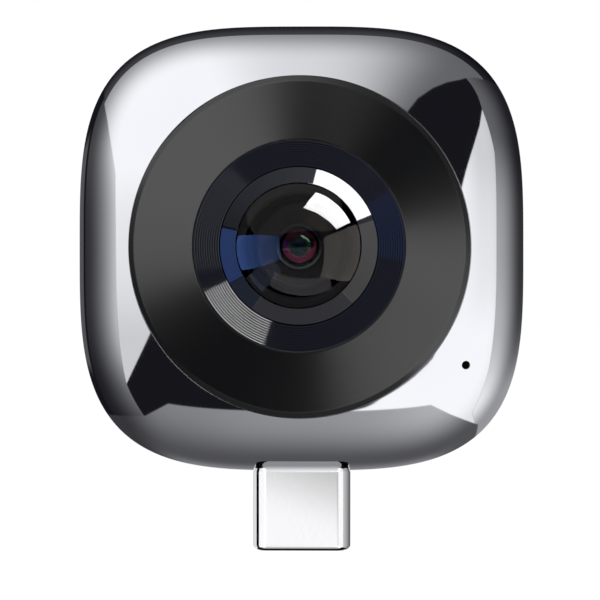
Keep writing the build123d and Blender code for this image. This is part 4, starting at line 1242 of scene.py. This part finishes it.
def lamp(name, receivers, facing, middle, turn, angle, wide, high, radiance, roll=0, tint="#ffffff"):
    """A rectangular lamp in a direction from a middle, square-on to it but for its roll."""
    turn, angle = radians(turn), radians(angle)
    out = Vector((facing * sin(angle) * cos(turn), -facing * cos(angle), sin(angle) * sin(turn)))
    round_way = Vector((-facing * sin(turn), 0, cos(turn)))
    outer_way = out.cross(round_way)
    tilt = facing * radians(roll)
    first = round_way * cos(tilt) + outer_way * sin(tilt)
    made = bpy.data.objects.new(name, bpy.data.lights.new(name, "AREA"))
    made.data.shape = "RECTANGLE"
    made.data.size = 2 * lamp_distance * tan(radians(wide) / 2)
    made.data.size_y = 2 * lamp_distance * tan(radians(high) / 2)
    made.data.energy = radiance * pi * made.data.size * made.data.size_y
    made.data.color = colour(tint)[:3]
    aim = Matrix((first, out.cross(first), out)).transposed().to_quaternion()
    made.matrix_world = Matrix.LocRotScale(middle + out * lamp_distance, aim, None)
    bpy.context.scene.collection.objects.link(made)
    made.visible_camera = False
    made.light_linking.receiver_collection = receivers
    return made


def shade_lamp(made, inner_cut, outer_cut, *fade):
    """Flags a lamp's inner edge at one end and its outer edge at the other, and fades it inwards."""
    made.data.use_nodes = True
    tree = made.data.node_tree
    place = add(tree, "ShaderNodeSeparateXYZ", {0: add(tree, "ShaderNodeNewGeometry").outputs["Parametric"]})
    value = {"x": place.outputs["X"], "y": place.outputs["Y"]}
    limits = dict(zip(("From Min", "From Max", "To Min", "To Max"), fade))
    value["fade"] = add(tree, "ShaderNodeMapRange", {"Value": value["y"], **limits})
    steps = (
        ("inner", "MULTIPLY_ADD", "x", inner_cut, 1 - inner_cut),
        ("outer", "MULTIPLY", "x", outer_cut),
        ("before inner", "LESS_THAN", "y", "inner"),
        ("past outer", "GREATER_THAN", "y", "outer"),
        ("both", "MULTIPLY", "before inner", "past outer"),
        ("strength", "MULTIPLY", "both", "fade"),
    )
    for word, operation, *terms in steps:
        inputs = {place: value.get(term, term) for place, term in enumerate(terms)}
        value[word] = add(tree, "ShaderNodeMath", inputs, operation=operation)
    tree.links.new(value["strength"].outputs[0], tree.nodes["Emission"].inputs["Strength"])


def hang(lamps, receivers, facing, prefix="", middle=centre):
    """Hangs a list of lamps for some pieces, and shades those that need it."""
    for name, *facts in lamps:
        made = lamp(prefix + name, receivers, facing, middle, *facts)
        if name in lamp_shades:
            shade_lamp(made, *lamp_shades[name])


for side, facing in sides.items():
    hang(lens_lamps, lens_lit[side], facing, f"{side}_")
    hang(groove_lamps, groove_lit[side], facing, f"{side}_")
hang(rear_lamps, rear_lit, sides["rear"])
hang(plug_lamps, plug_lit, sides["front"], middle=Vector((0, 0, (plug_low.z + shell_low.z) / 2)))
print("lamps hung", len(bpy.data.lights))

# %% [markdown]
# The floor is a pale sheet that the camera hovers over. It is left out of mirror reflections,
# because the tent's own lower half gives those.

# %% Floor and background
floor_height = -30 * mm
floor_reach = 3.0
pulp_scale = 40.0


def pale_floor():
    """A large sheet of white paper under the camera."""
    mesh = bpy.data.meshes.new("floor")
    near, far = -floor_reach, floor_reach
    corners = [(x, y, floor_height) for x, y in ((near, near), (far, near), (far, far), (near, far))]
    mesh.from_pydata(corners, [], [(0, 1, 2, 3)])
    finish, tree, place = new_finish("pale_paper")
    pulp = add(tree, "ShaderNodeTexNoise", {"Vector": place, "Scale": pulp_scale, "Detail": 3.0})
    look = {"Roughness": 0.9, "Emission Color": colour("#ffffff"), "Emission Strength": 0.7}
    finish_surface(tree, pulp, "#fafafa", "#ffffff", look)
    mesh.materials.append(finish)
    floor = link_mesh("floor", mesh)
    floor.visible_glossy = False
    floor.visible_diffuse = False
    floor.visible_shadow = False


pale_floor()
world = bpy.data.worlds.new("white_background")
world.use_nodes = True
world.node_tree.nodes["Background"].inputs["Color"].default_value = (1, 1, 1, 1)
bpy.context.scene.world = world
print("floor and background made")
